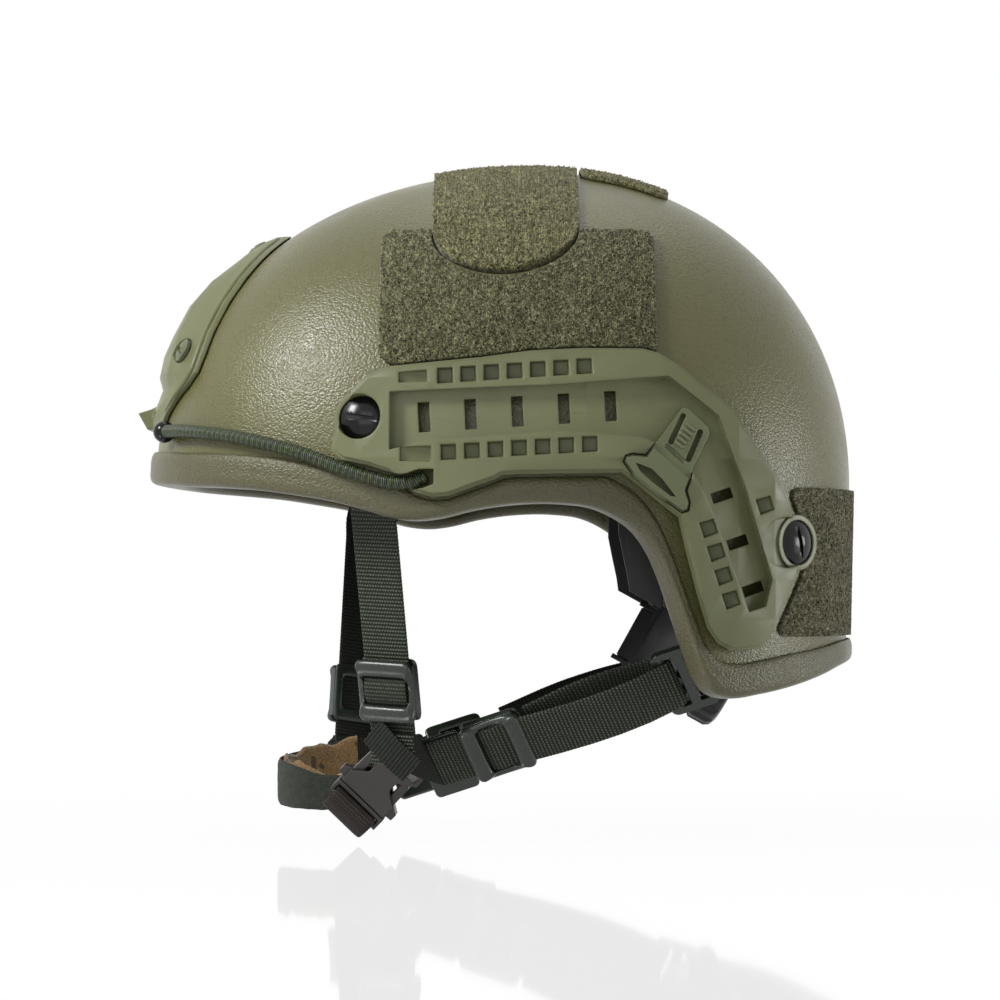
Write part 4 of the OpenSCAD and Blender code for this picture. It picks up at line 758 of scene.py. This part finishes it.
dressForm = {"weld": 0.00002, "flat": 0.06, "sharp": 32, "segments": 2}
hardPieces = [
    ("rail", "rail_plastic", 0.6, "rail_left rail_right"),
    ("clip", "rail_plastic", 0.3, "rail_clip_left rail_clip_right"),
    ("rail", "rail_plastic", 0.5, "front_plate"),
    ("slider", "slider_plastic", 0.5, "strap_ring_left strap_ring_right"),
    ("slider", "slider_plastic", 0.4, "keeper_left keeper_right"),
    ("buckle", "slider_plastic", 0.4, "buckle_socket buckle_plug"),
    ("liner", "liner_plastic", 0.3, "headband yoke_left yoke_right"),
    ("liner", "liner_plastic", 0.4, "dial_housing"),
    ("liner", "liner_plastic", 0.3, "dial_hanger"),
    ("liner", "liner_plastic", 0.15, "rack_band_left rack_band_right"),
    ("liner", "liner_plastic", 0.1, "dial_pinion"),
    ("knob", "liner_plastic", 0.5, "dial_knob"),
    ("blackGloss", "black_metal", 0.25, "rail_screws"),
    ("blackGloss", "black_metal", 0, "bungee_balls"),
    ("darkMetal", "dark_metal", 0.25, "rail_nuts front_plate_nuts"),
    ("oliveMetal", "olive_metal", 0.2, "front_plate_screws"),
    ("darkMetal", "dark_metal", 0.25, "strap_anchors"),
    ("darkMetal", "liner_plastic", 0.2, "headband_rivets"),
]


def bodyOf(node):
    return nodes[node]["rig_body"]


def dressNode(node, material, slot, bevel, form):
    bm = bmesh.new()
    bm.from_mesh(nodes[node].data)
    bmesh.ops.remove_doubles(bm, verts=bm.verts, dist=form["weld"])
    bmesh.ops.dissolve_limit(bm, angle_limit=math.radians(form["flat"]), verts=bm.verts, edges=bm.edges)
    bmesh.ops.scale(bm, vec=(1 / mm, 1 / mm, 1 / mm), verts=bm.verts)
    piece = newPiece(node + "_finished", node, bm, material, slot, bodyOf(node), form["sharp"], False)
    if bevel:
        softened = piece.modifiers.new("Bevel", "BEVEL")
        softened.width = bevel * mm
        softened.segments = form["segments"]
        softened.limit_method = "ANGLE"
        softened.angle_limit = math.radians(form["sharp"])


for look, slotName, bevel, names in hardPieces:
    for node in names.split():
        dressNode(node, {**moulded, **painted}[look], slotName, bevel, dressForm)
print("hard pieces dressed")

# Bungee cords and the front plate's rim

bungeeForm = {
    "wide": 5.0, "sides": 20, "step": 0.7,
    "route": [
        (51.5, -129.8, 25.4), (60.6, -124, 25.2), (73.3, -113.4, 23.9), (84, -101.5, 22), (93.6, -87.9, 18.8),
        (100.6, -74.7, 15), (106.4, -62, 10.2), (110.4, -50, 6.2), (112.8, -39.5, 3.8), (113.8, -33, 4.4),
        (114.2, -28.5, 6),
    ],
}
plateRim = {
    "half": [(34, 39), (39, 45), (43, 50), (48, 53), (56, 51.5), (64, 48), (76, 42), (86, 35.5), (93, 29), (98, 23)],
    "inset": 2.4, "lift": 2.3, "wide": 2.6, "sides": 12, "step": 1.5, "top": (16, 101.6), "middle": 103.2,
    "point": 0.3, "taper": 12,
}


def makeTube(name, node, route, form, material, slot, swell=None):
    marks, total = evenly(smoothLine(route, 14), form["step"])
    count, sides = len(marks) - 1, form["sides"]

    def place(u, v):
        i = round(v * count)
        run = runAt(marks, i)
        side = run.cross(Vector((0, 0, 1))).normalized()
        up = side.cross(run)
        turn = 2 * math.pi * round(u * sides) / sides
        r = form["wide"] / 2 * (swell(i / count) if swell else 1.0)
        return marks[i] + (side * math.cos(turn) + up * math.sin(turn)) * r

    bentPiece(name, node, sides, count, place, material, slot, lambda u, v: (u, v * total * mm))


def makePlateRim(form):
    edge = [(half - form["inset"], z) for z, half in form["half"]] + [form["top"]]
    ends = [(-x, z) for x, z in edge] + [(0, form["middle"])] + [(x, z) for x, z in reversed(edge)]
    makeTube(
        "front_plate_rim", None, [onEnd(False)(x, z, form["lift"]) for x, z in ends], form, moulded["rail"],
        "rail_plastic", lambda t: min(1.0, form["point"] + form["taper"] * min(t, 1 - t)))


for name, way in (("left", 1), ("right", -1)):
    route = [(way * x, y, z) for x, y, z in bungeeForm["route"]]
    makeTube("bungee_cord_" + name, "bungee_" + name, route, bungeeForm, braid, "bungee_cord")
makePlateRim(plateRim)
print("bungee cords and plate rim made")

# Chin harness: the ways of the straps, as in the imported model

harness = {
    "web": 20.0, "thick": 1.6, "seat": 0.3, "frontScrew": (-51, 27), "rearScrew": (106.5, -18), "anchorThick": 3.0,
    "drop": 14.0, "seatDepth": 0.8, "rimPass": (-49, -6), "inset": 9.5, "frontEnd": (66, -42, -90),
    "rearStart": (55, -26, -103), "rearEnd": (75, 63, -73), "lead": 16.0, "fall": 6.0, "turn": 30.0, "roll": 26.0,
    "bar": 2.2, "ringReach": 17.2, "frontSlider": (70.0, 76.0), "rearSlider": 26.0, "frontShare": (0.5, 1.2),
    "tail": {"start": 0.3, "slip": 2.5, "end": 0.58, "off": 4.4},
}
strapSide = Vector((math.sin(math.radians(harness["turn"])), math.cos(math.radians(harness["turn"])), 0))
strapDepth = harness["anchorThick"] - harness["seatDepth"] + 2 * harness["seat"] + harness["thick"] / 2


def sided(right):
    return "right" if right else "left"


def anchorSide(spot):
    n = outwardAt(onSide(1)(*spot, 0))
    return Vector((-n.y, n.x, 0)).normalized()


def anchorPoint(spot, fall, off):
    p = onSide(1)(*spot, 0)
    n = outwardAt(p)
    return p - n * (wall + strapDepth + off) + anchorSide(spot).cross(n) * (harness["drop"] + fall)


def hung(p, share, right):
    return Vector(p) - Vector((0, harness["lead"], harness["fall"])) * (share if right else 0)


def frontWay(right):
    top = onSide(1)(*harness["rimPass"], -wall) - Vector((harness["inset"], 0, 0))
    lift = Vector((0, 0, harness["fall"] / 2 if right else 0))
    high, low = harness["frontShare"]
    return [hung(top, high, right) + lift, hung(harness["frontEnd"], low, right)]


def rearWay(right):
    dip = Vector((0, 0, -harness["fall"] / 2 if right else 0))
    return [hung(harness["rearStart"], 1, right), Vector(harness["rearEnd"]) + dip]


def runOf(way):
    return (way[1] - way[0]).normalized()


def squareTo(run, across):
    return (across - run * across.dot(run)).normalized()


def rearSide(way):
    e = runOf(way)
    low = e.cross(Vector((1, 0, 0))).normalized()
    roll = math.radians(harness["roll"])
    return (low * math.cos(roll) - low.cross(e) * math.sin(roll)).normalized()


def mirrored(points, right):
    return [Vector((-p.x, p.y, p.z)) if right else Vector(p) for p in points]


ribForm = {"step": 0.24, "pitch": 1.45, "rib": 0.13, "square": 12}
sectionX = [-1, -0.97, -0.9, -0.7, -0.45, -0.2, 0, 0.2, 0.45, 0.7, 0.9, 0.97, 1]
webLoop = [(x, 1) for x in sectionX] + [(x, -1) for x in reversed(sectionX[1:-1])]


def webSpot(u):
    x, face = webLoop[round(u * len(webLoop)) % len(webLoop)]
    return x, face * math.sqrt(max(0.0, 1 - abs(x) ** ribForm["square"]))


def webX(u):
    return webLoop[min(len(webLoop) - 1, round(u * len(webLoop)))][0]


def makeRibbon(name, node, points, widths, material, wide, thick, step=ribForm["step"], **options):
    knots = [Vector(p) for p in points]
    marks, total = evenly(smoothLine(knots, 8), step)
    count, ribHigh = len(marks) - 1, ribForm["rib"]
    lengths = [0.0]
    for a, b in zip(knots, knots[1:]):
        lengths.append(lengths[-1] + (b - a).length)

    def widthAt(share):
        want, i = share * lengths[-1], 0
        while want > lengths[i + 1] and i < len(knots) - 2:
            i += 1
        t = clamp((want - lengths[i]) / max(tiny, lengths[i + 1] - lengths[i]))
        a, b = Vector(widths[min(i, len(widths) - 1)]), Vector(widths[min(i + 1, len(widths) - 1)])
        return a.lerp(b, t * t * (3 - 2 * t))

    frames = []
    for i, here in enumerate(marks):
        run = runAt(marks, i)
        across = squareTo(run, widthAt(i / count))
        frames.append((here, across, run.cross(across)))

    def place(u, v):
        i = round(v * count)
        here, across, out = frames[i]
        x, face = webSpot(u)
        rib = ribHigh * abs(math.sin(math.pi * i / count * total / ribForm["pitch"]))
        return here + across * x * (wide / 2 - ribHigh + rib) + out * face * (thick / 2 - ribHigh + rib)

    bentPiece(
        name, node, len(webLoop), count, place, material, "webbing",
        lambda u, v: (webX(u) * wide / 2 * mm, v * total * mm), sharp=60, **options)


def makeStrap(
        label, node, right, points, widths, look, wide=harness["web"], thick=harness["thick"], **options):
    side = "_" + sided(right)
    makeRibbon(
        label + side, node and node + side, mirrored(points, right), mirrored(widths, right), webbing[look], wide,
        thick, **options)


def makeFrontStrap(right):
    way = frontWay(right)
    side = anchorSide(harness["frontScrew"])
    top, after = anchorPoint(harness["frontScrew"], 0, 0), anchorPoint(harness["frontScrew"], 6, 2.5)
    points = [top, after, way[0], way[0].lerp(way[1], 0.1), way[1]]
    widths = [side, side, strapSide, strapSide, strapSide]
    # Lighter webbing copy on the near side, darker on the far side: painted light and shade.
    makeStrap("front_webbing", "front_strap", right, points, widths, "dark" if right else "near")


def makeRearStrap(right):
    way = rearWay(right)
    e, w = runOf(way), rearSide(way)
    n = w.cross(e)
    side, tail = anchorSide(harness["rearScrew"]), harness["tail"]
    turn = harness["bar"] + harness["seat"] + harness["thick"] / 2
    bend = [way[1] + n * turn * (math.cos(a) - 1) + e * turn * math.sin(a) for a in map(math.radians, (45, 90, 135))]
    points = [
        way[0], way[1], *bend, way[1] - n * turn * 2,
        way[1].lerp(way[0], tail["start"]) - n * (turn * 2 - 1) - w * tail["slip"],
        way[1].lerp(way[0], tail["end"]) - n * tail["off"],
    ]
    # Lighter webbing copy on the near side, darker on the far side: painted light and shade.
    makeStrap("rear_webbing", "rear_strap", right, points, [w], "dark" if right else "near")
    top, after = anchorPoint(harness["rearScrew"], 0, 0), anchorPoint(harness["rearScrew"], 8, 1)
    ringEnd = way[1] - n * turn + e * harness["ringReach"]
    makeStrap("rear_upper_webbing", None, right, [top, after, ringEnd + e * 6, ringEnd], [side, side, w, w], "dark")


sliderForm = {
    "outer": (12.2, 12.2), "window": (9.8, 5.7), "front": (1.15, 5.2), "roll": 2.3, "backWindow": (8.5, 7),
    "back": (-2.6, -1.1), "square": 10, "around": 96, "section": 16, "soft": 2.4,
    "bar": [(0.55, 0.0), (0.85, 1.0)], "sideAt": (11.4, 0.1), "sideSize": (1.7, 20, 3.2),
}
foldForm = {"long": 11.6, "rise": 2.2, "lift": 1.1, "wide": 18.6, "thick": 1.2, "step": 0.2}


def sliderFrames(right):
    front, rear = frontWay(right), rearWay(right)
    e = runOf(front)
    return {
        "front": (front[0] + e * harness["frontSlider"][1 if right else 0], squareTo(e, strapSide), -e),
        "rear": (rear[0] + runOf(rear) * harness["rearSlider"], rearSide(rear), runOf(rear)),
    }


def superSpot(turn, power):
    c, s = math.cos(turn), math.sin(turn)
    return math.copysign(abs(c) ** (2 / power), c), math.copysign(abs(s) ** (2 / power), s)


def makeFrameRing(name, node, spot, window, span, roll, body):
    p, a, b = spot
    c = a.cross(b)
    form = sliderForm

    def place(u, v):
        k = round(u * form["around"]) % form["around"]
        x, y = superSpot(2 * math.pi * k / form["around"], form["square"])
        edge = Vector((x * form["outer"][0], y * form["outer"][1]))
        hole = Vector((x * window[0], y * window[1]))
        across, high = superSpot(2 * math.pi * round(v * form["section"]) / form["section"], form["soft"])
        flat = hole.lerp(edge, (across + 1) / 2)
        deep = mix(span[0], span[1] - roll * (1 - lookup(abs(y), form["bar"])), (high + 1) / 2)
        return p + a * flat.x + b * flat.y + c * deep

    bentPiece(
        name, node, form["around"], form["section"], place, moulded["slider"], "slider_plastic", body=body, sharp=75)


def makeSliderSides(name, spot, body, at, size):
    p, a, b = spot
    c = a.cross(b)
    bm = bmesh.new()
    for way in (-1, 1):
        for vertex in bmesh.ops.create_cube(bm, size=1.0)["verts"]:
            x, y, z = vertex.co
            vertex.co = p + a * (way * at[0] + x * size[0]) + b * y * size[1] + c * (at[1] + z * size[2])
    newPiece(name, None, bm, moulded["slider"], "slider_plastic", body=body)


def makeSliders(right):
    for end, spot in sliderFrames(right).items():
        spot = tuple(mirrored(spot, right))
        if right:
            spot = (spot[0], -spot[1], spot[2])
        node = end + "_slider_" + sided(right)
        body, form = bodyOf(node), sliderForm
        makeFrameRing(node + "_frame", node, spot, form["window"], form["front"], form["roll"], body)
        makeFrameRing(node + "_back", None, spot, form["backWindow"], form["back"], 0, body)
        makeSliderSides(node + "_sides", spot, body, form["sideAt"], form["sideSize"])


def makeFolds(right):
    form = foldForm
    for end, (p, a, b) in sliderFrames(right).items():
        points = []
        for t in [k / 3 - 1 for k in range(7)]:
            rise = form["lift"] + form["rise"] * math.sqrt(1 - 0.96 * t * t)
            points.append(p + b * form["long"] / 2 * t + a.cross(b) * rise)
        makeStrap(
            end + "_slider_fold", end + "_slider_web", right, points, [a], "near", form["wide"], form["thick"],
            body=bodyOf(end + "_slider_web_" + sided(right)), step=form["step"])


cheekForm = {
    "corner": 15.0, "rows": 60, "thick": 1.7, "lay": 1.7, "lap": (0.5, 6, 12.5), "across": (-7.0, 9.0),
    "along": (-1, 14), "bow": 1.2, "fold": 13.0,
}


def makeCheek(right):
    form, front, rear = cheekForm, frontWay(right), rearWay(right)
    down, half, seat = runOf(front), harness["web"] / 2, harness["seat"]
    w = squareTo(down, strapSide)
    outer = [front[1] - w * half + down * seat, rear[0] + rearSide(rear) * half - runOf(rear) * seat]
    inner = [front[1] + w * half + down * seat, rear[0] - rearSide(rear) * half - runOf(rear) * seat]
    corner = front[1] - w * half + down * form["corner"]
    n = w.cross(-down)
    outB = rearSide(rear).cross(runOf(rear))
    long = (outer[0] - outer[1]).length

    def place(u, v):
        x, face = webSpot(u)
        t = round(v * form["rows"]) / form["rows"]
        edge = outer[0].lerp(corner, t).lerp(corner.lerp(outer[1], t), t)
        spot = edge.lerp(inner[0].lerp(inner[1], t), (x + 1) / 2)
        spot += n.lerp(outB, t).normalized() * face * form["thick"] / 2
        return Vector((-spot.x, spot.y, spot.z)) if right else spot

    bentPiece(
        "cheek_webbing_" + sided(right), "cheek_web_" + sided(right), len(webLoop), form["rows"], place,
        webbing["dark"], "webbing", lambda u, v: (v * long * mm, webX(u) * half * mm), sharp=60)
    out = n if n.x > 0 else -n
    lay, (back, ahead), (high, low) = form["lay"], form["across"], form["along"]
    # Lighter webbing copy on the near side, darker on the far side: painted light and shade.
    makeStrap(
        "cheek_front_lap", None, right, [front[1] + out * lay + down * k for k in form["lap"]], [w],
        "dark" if right else "near")
    start, end = front[1] + w * back + out * 2 * lay + down * high, front[1] + w * ahead + down * low + out * 2 * lay
    makeStrap(
        "cheek_fold", None, right, [start, start.lerp(end, 0.5) + out * form["bow"], end],
        [squareTo((end - start).normalized(), w)], "dark", form["fold"])


for makers in ((makeFrontStrap, makeRearStrap), (makeSliders, makeFolds), (makeCheek,)):
    for isRight in (False, True):
        for make in makers:
            make(isRight)
print("straps and sliders made")

cupForm = {
    "high": 18.5, "rows": 16, "step": 1.0,
    "route": [
        (32.5, -51, -111.6), (30.5, -59, -113.6), (27, -69, -115), (21.5, -79, -113.5), (12, -85.5, -112.2),
        (0, -87.5, -111.6), (-12, -86, -111), (-23, -80, -109.5), (-30, -70, -107), (-34, -60, -104.5),
    ],
    "share": [0.6, 0.7, 0.8, 0.95, 1, 1, 1, 1, 1, 0.95],
}
cupBands = {
    "outer": {"near": 0.4, "far": 2.5, "low": -1.0, "high": 0.93, "rough": 0.15, "wave": 0},
    "fleece": {"near": -2.5, "far": 0.3, "low": -0.98, "high": 1.0, "rough": 0.35, "wave": 1},
}
chinForm = {"wide": 16.0, "start": (0.5, 7), "end": (12.5, 9, -12)}
buckleForm = {
    "mid": (46, -47.5, -109.2), "up": (0.25, 0.68, 0.69), "side": (-0.05, 0.714, -0.69), "thick": 1.8,
    "way": [(-12.85, 4), (-12.85, 6.6), (-21.9, 2.6), (-21.9, -1.4), (-12.85, -7.4), (-4, -7.9)],
}


def makeChinStrap(form):
    last, before = Vector(cupForm["route"][-1]), Vector(cupForm["route"][-2])
    away = Vector((last.x - before.x, last.y - before.y, 0)).normalized()
    cheek = hung(harness["frontEnd"], harness["frontShare"][1], True)
    end = Vector((-cheek.x, cheek.y, cheek.z)) + Vector(form["end"])
    makeRibbon(
        "chin_webbing", "chin_strap", [last + away * k for k in form["start"]] + [end], [(0, 0, 1)], webbing["dark"],
        form["wide"], harness["thick"])


def makeBuckleWeb(form):
    mid, up, side = Vector(form["mid"]), Vector(form["up"]).normalized(), Vector(form["side"]).normalized()
    n = side.cross(up)
    makeRibbon(
        "buckle_webbing", "buckle_web", [mid + up * a + n * b for a, b in form["way"]], [side], webbing["brown"],
        harness["web"], form["thick"], body="plug")


def cupFrames():
    marks, total = evenly(smoothLine(cupForm["route"], 14), cupForm["step"])
    rows = []
    for i, here in enumerate(marks):
        out = Vector((0, 0, 1)).cross(runAt(marks, i)).normalized()
        along = i / (len(marks) - 1) * (len(cupForm["share"]) - 1)
        rows.append((here, out, cupForm["high"] * lookup(along, list(enumerate(cupForm["share"]))) / 2))
    return rows, total


def makeCupBand(name, node, form, material):
    rows, total = cupFrames()
    count, high = len(rows) - 1, cupForm["rows"]
    loop = [(j / high, -1) for j in range(high + 1)] + [(j / high, 1) for j in range(high, -1, -1)]

    def place(u, v):
        i = round(v * count)
        here, out, half = rows[i]
        share, face = loop[round(u * len(loop)) % len(loop)]
        t = i / count
        wave = (0.1 * math.sin(t * 26) + 0.05 * math.sin(t * 61)) * max(0.0, share - 0.5) * 2 * form["wave"]
        z = mix(form["low"], form["high"], share) + wave
        reach = (form["far"] - form["near"]) / 2 * (0.15 + 0.85 * math.sqrt(max(0.0, 1 - abs(2 * share - 1) ** 6)))
        spot = here + out * ((form["near"] + form["far"]) / 2 + face * reach) + Vector((0, 0, z * half))
        return spot + Vector(noise.noise_vector(spot * 0.35)) * form["rough"]

    band = bentPiece(
        name, node, len(loop), count, place, material, "cup_fabric", lambda u, v: (u * 0.04, v * total * mm),
        sharp=60)


makeChinStrap(chinForm)
makeBuckleWeb(buckleForm)
makeCupBand("chin_cup_outer", "chin_cup", cupBands["outer"], cloth["cupOuter"])
makeCupBand("chin_cup_fleece", None, cupBands["fleece"], fleece)
print("chin harness made")

# Liner pads and nape cushion

padForm = {
    "gap": 1.1, "thick": 21.0, "groove": 0.3, "grooveWide": 0.2, "rim": 0.3, "near": 0.985, "pinch": 0.05,
    "wrinkle": 0.7,
}
padSpans = {"crown": (40, 48, 7), "front": (46, 19, 44), "rear": (44, -8, 46), "side": (-35, 35, 8.5, 46)}
napeForm = {"y": -1.5, "z": -23.0, "tilt": 29.0, "radius": 87.3, "span": 27.0, "deep": 10.0, "half": 13.0}


def subdividedBlock(counts, place):
    bm = bmesh.new()
    bmesh.ops.create_cube(bm, size=2.0)
    for axis, count in enumerate(counts):
        edges = [e for e in bm.edges if abs(e.verts[0].co[axis] - e.verts[1].co[axis]) > 1.5]
        bmesh.ops.subdivide_edges(bm, edges=edges, cuts=count - 1, use_grid_fill=True)
    for vertex in bm.verts:
        vertex.co = place(*vertex.co)
    return bm


def padSwell(u, v, cuts):
    u, v = u * padForm["near"], v * padForm["near"]
    side = math.sqrt(max(0.0, (1 - abs(u) ** 4) * (1 - abs(v) ** 4)))
    groove = max(max(0.0, 1 - abs(u - c) / padForm["grooveWide"]) ** 2 for c in cuts)
    return padForm["rim"] + (1 - padForm["rim"]) * side * (1 - padForm["groove"] * groove)


def makePad(label, surface, cuts):
    name = label + "_pad"

    def place(x, y, z):
        depth = (z + 1) / 2
        pinch = 1 - padForm["pinch"] * (1 - abs(2 * depth - 1))
        wrinkle = noise.noise(Vector((x * 3, y * 3, depth * 2 + len(name)))) * padForm["wrinkle"]
        deep = padForm["thick"] * padSwell(x, y, cuts) * depth
        return surface(x * pinch, y * pinch, -wall - padForm["gap"] - deep - wrinkle * depth)

    block = subdividedBlock((34, 22, 4), place)
    newPiece(name, "pad_" + label, block, cloth["pad"], "pad_fabric", sharp=80)


def crownPlace(u, v, off):
    halfX, halfY, middle = padSpans["crown"]
    return onTop(halfX * u * math.sqrt(1 - v * v / 2), middle + halfY * v * math.sqrt(1 - u * u / 2), off)


def endPlace(half, low, high, rear):
    return lambda u, v, off: onEnd(rear)(half * u, mix(low, high, (v + 1) / 2), off)


def sidePlace(way):
    y0, y1, z0, z1 = padSpans["side"]
    return lambda u, v, off: onSide(way)(mix(y0, y1, (u + 1) / 2), mix(z0, z1, (v + 1) / 2), off)


def makeNapePad(form):
    turned = Matrix.Translation((0, form["y"], form["z"])) @ Matrix.Rotation(-math.radians(form["tilt"]), 4, "X")
    turned = turned @ Matrix.Rotation(math.pi / 2, 4, "Z")

    def place(x, y, z):
        r = form["radius"] - form["deep"] * padSwell(x, y, [-0.4, 0.4]) * (z + 1) / 2
        a = math.radians(x * form["span"])
        return turned @ Vector((r * math.cos(a), r * math.sin(a), y * form["half"]))

    block = subdividedBlock((34, 16, 4), place)
    newPiece("nape_cushion", "nape_pad", block, cloth["pad"], "pad_fabric", sharp=80)


makePad("crown", crownPlace, [-0.35, 0.35])
makePad("front", endPlace(*padSpans["front"], False), [-0.4, 0.4])
makePad("rear", endPlace(*padSpans["rear"], True), [0])
makePad("left", sidePlace(1), [-0.33, 0.33])
makePad("right", sidePlace(-1), [-0.33, 0.33])
makeNapePad(napeForm)
print("pads made")

# Floor, backdrop and light

stageForm = {"gap": 0.0015, "size": 6.0, "white": [(0.1, 0.96), (0.45, 1.0)], "mirror": 0.19, "matte": 0.6}
worldForm = {"seen": 0.89, "base": 0.11}
lamps = tableOf("at size power aim", {
    "frontSide": ((0.8, -1.45, 1.2), 0.5, 36, (0, -0.03, 0.02)),
    "cameraSide": ((1.7, -0.5, 0.5), 1.0, 4.5, (0, 0, 0)),
    "rearRim": ((0.2, 1.5, -0.1), 0.7, 15, (0, 0.05, 0)),
    "top": ((-0.5, 0.1, 1.7), 1.1, 5.5, (0, 0, 0)),
})


def clearTree(owner):
    owner.use_nodes = True
    owner.node_tree.nodes.clear()
    return owner.node_tree


def seenBy(tree, *rays):
    path = put(tree, "LightPath").outputs
    seen = 0.0
    for ray in rays:
        seen = calc(tree, "MAXIMUM", seen, path["Is " + ray + " Ray"])
    return seen


def mixShaders(tree, share, a, b):
    return put(tree, "MixShader", {0: share, 1: a.outputs[0], 2: b.outputs[0]})


def makeStage(form):
    bm = bmesh.new()
    bmesh.ops.create_grid(bm, x_segments=2, y_segments=2, size=form["size"])
    ground = min(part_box(n)[0].z for n in nodes) - form["gap"]
    bmesh.ops.translate(bm, vec=(0, 0, ground), verts=bm.verts)
    mesh = bpy.data.meshes.new("floor")
    bm.to_mesh(mesh)
    bm.free()
    floor = addObject("floor", mesh)
    material = bpy.data.materials.new("floorWhite")
    tree = clearTree(material)
    matte = put(tree, "BsdfDiffuse", {"Color": (form["matte"],) * 3 + (1,)})
    mirror = put(tree, "BsdfGlossy", {"Color": (1, 1, 1, 1), "Roughness": 0.04})
    glow = put(tree, "Emission", {"Color": (1, 1, 1, 1), "Strength": 1.0})
    reach = put(tree, "VectorMath", {0: objectPlace(tree)}, operation="LENGTH").outputs["Value"]
    white = calc(tree, "MULTIPLY", seenBy(tree, "Camera", "Glossy"), ramp(tree, reach, form["white"]))
    lit = mixShaders(tree, white, matte, glow)
    under = put(tree, "NewGeometry").outputs["Backfacing"]
    clear = put(tree, "BsdfTransparent")
    oneSided = mixShaders(tree, under, mixShaders(tree, form["mirror"], lit, mirror), clear)
    put(tree, "OutputMaterial", {"Surface": oneSided.outputs[0]})
    mesh.materials.append(material)


def makeWorld(form):
    world = bpy.data.worlds.new("studio")
    tree = clearTree(world)
    seen = seenBy(tree, "Camera", "Glossy", "Transmission")
    strength = calc(tree, "ADD", calc(tree, "MULTIPLY", seen, form["seen"]), form["base"])
    back = put(tree, "Background", {"Color": (1, 1, 1, 1), "Strength": strength})
    put(tree, "OutputWorld", {"Surface": back.outputs[0]})
    scene.world = world


def makeLamp(name, form):
    data = bpy.data.lights.new(name, "AREA")
    data.size = form["size"]
    data.energy = form["power"]
    light = addObject(name, data)
    light.location = form["at"]
    light.rotation_euler = (Vector(form["aim"]) - Vector(form["at"])).to_track_quat("-Z", "Y").to_euler()


makeStage(stageForm)
makeWorld(worldForm)
for name, form in lamps.items():
    makeLamp(name, form)
scene.view_settings.view_transform = "Standard"
print("stage and lamps made")
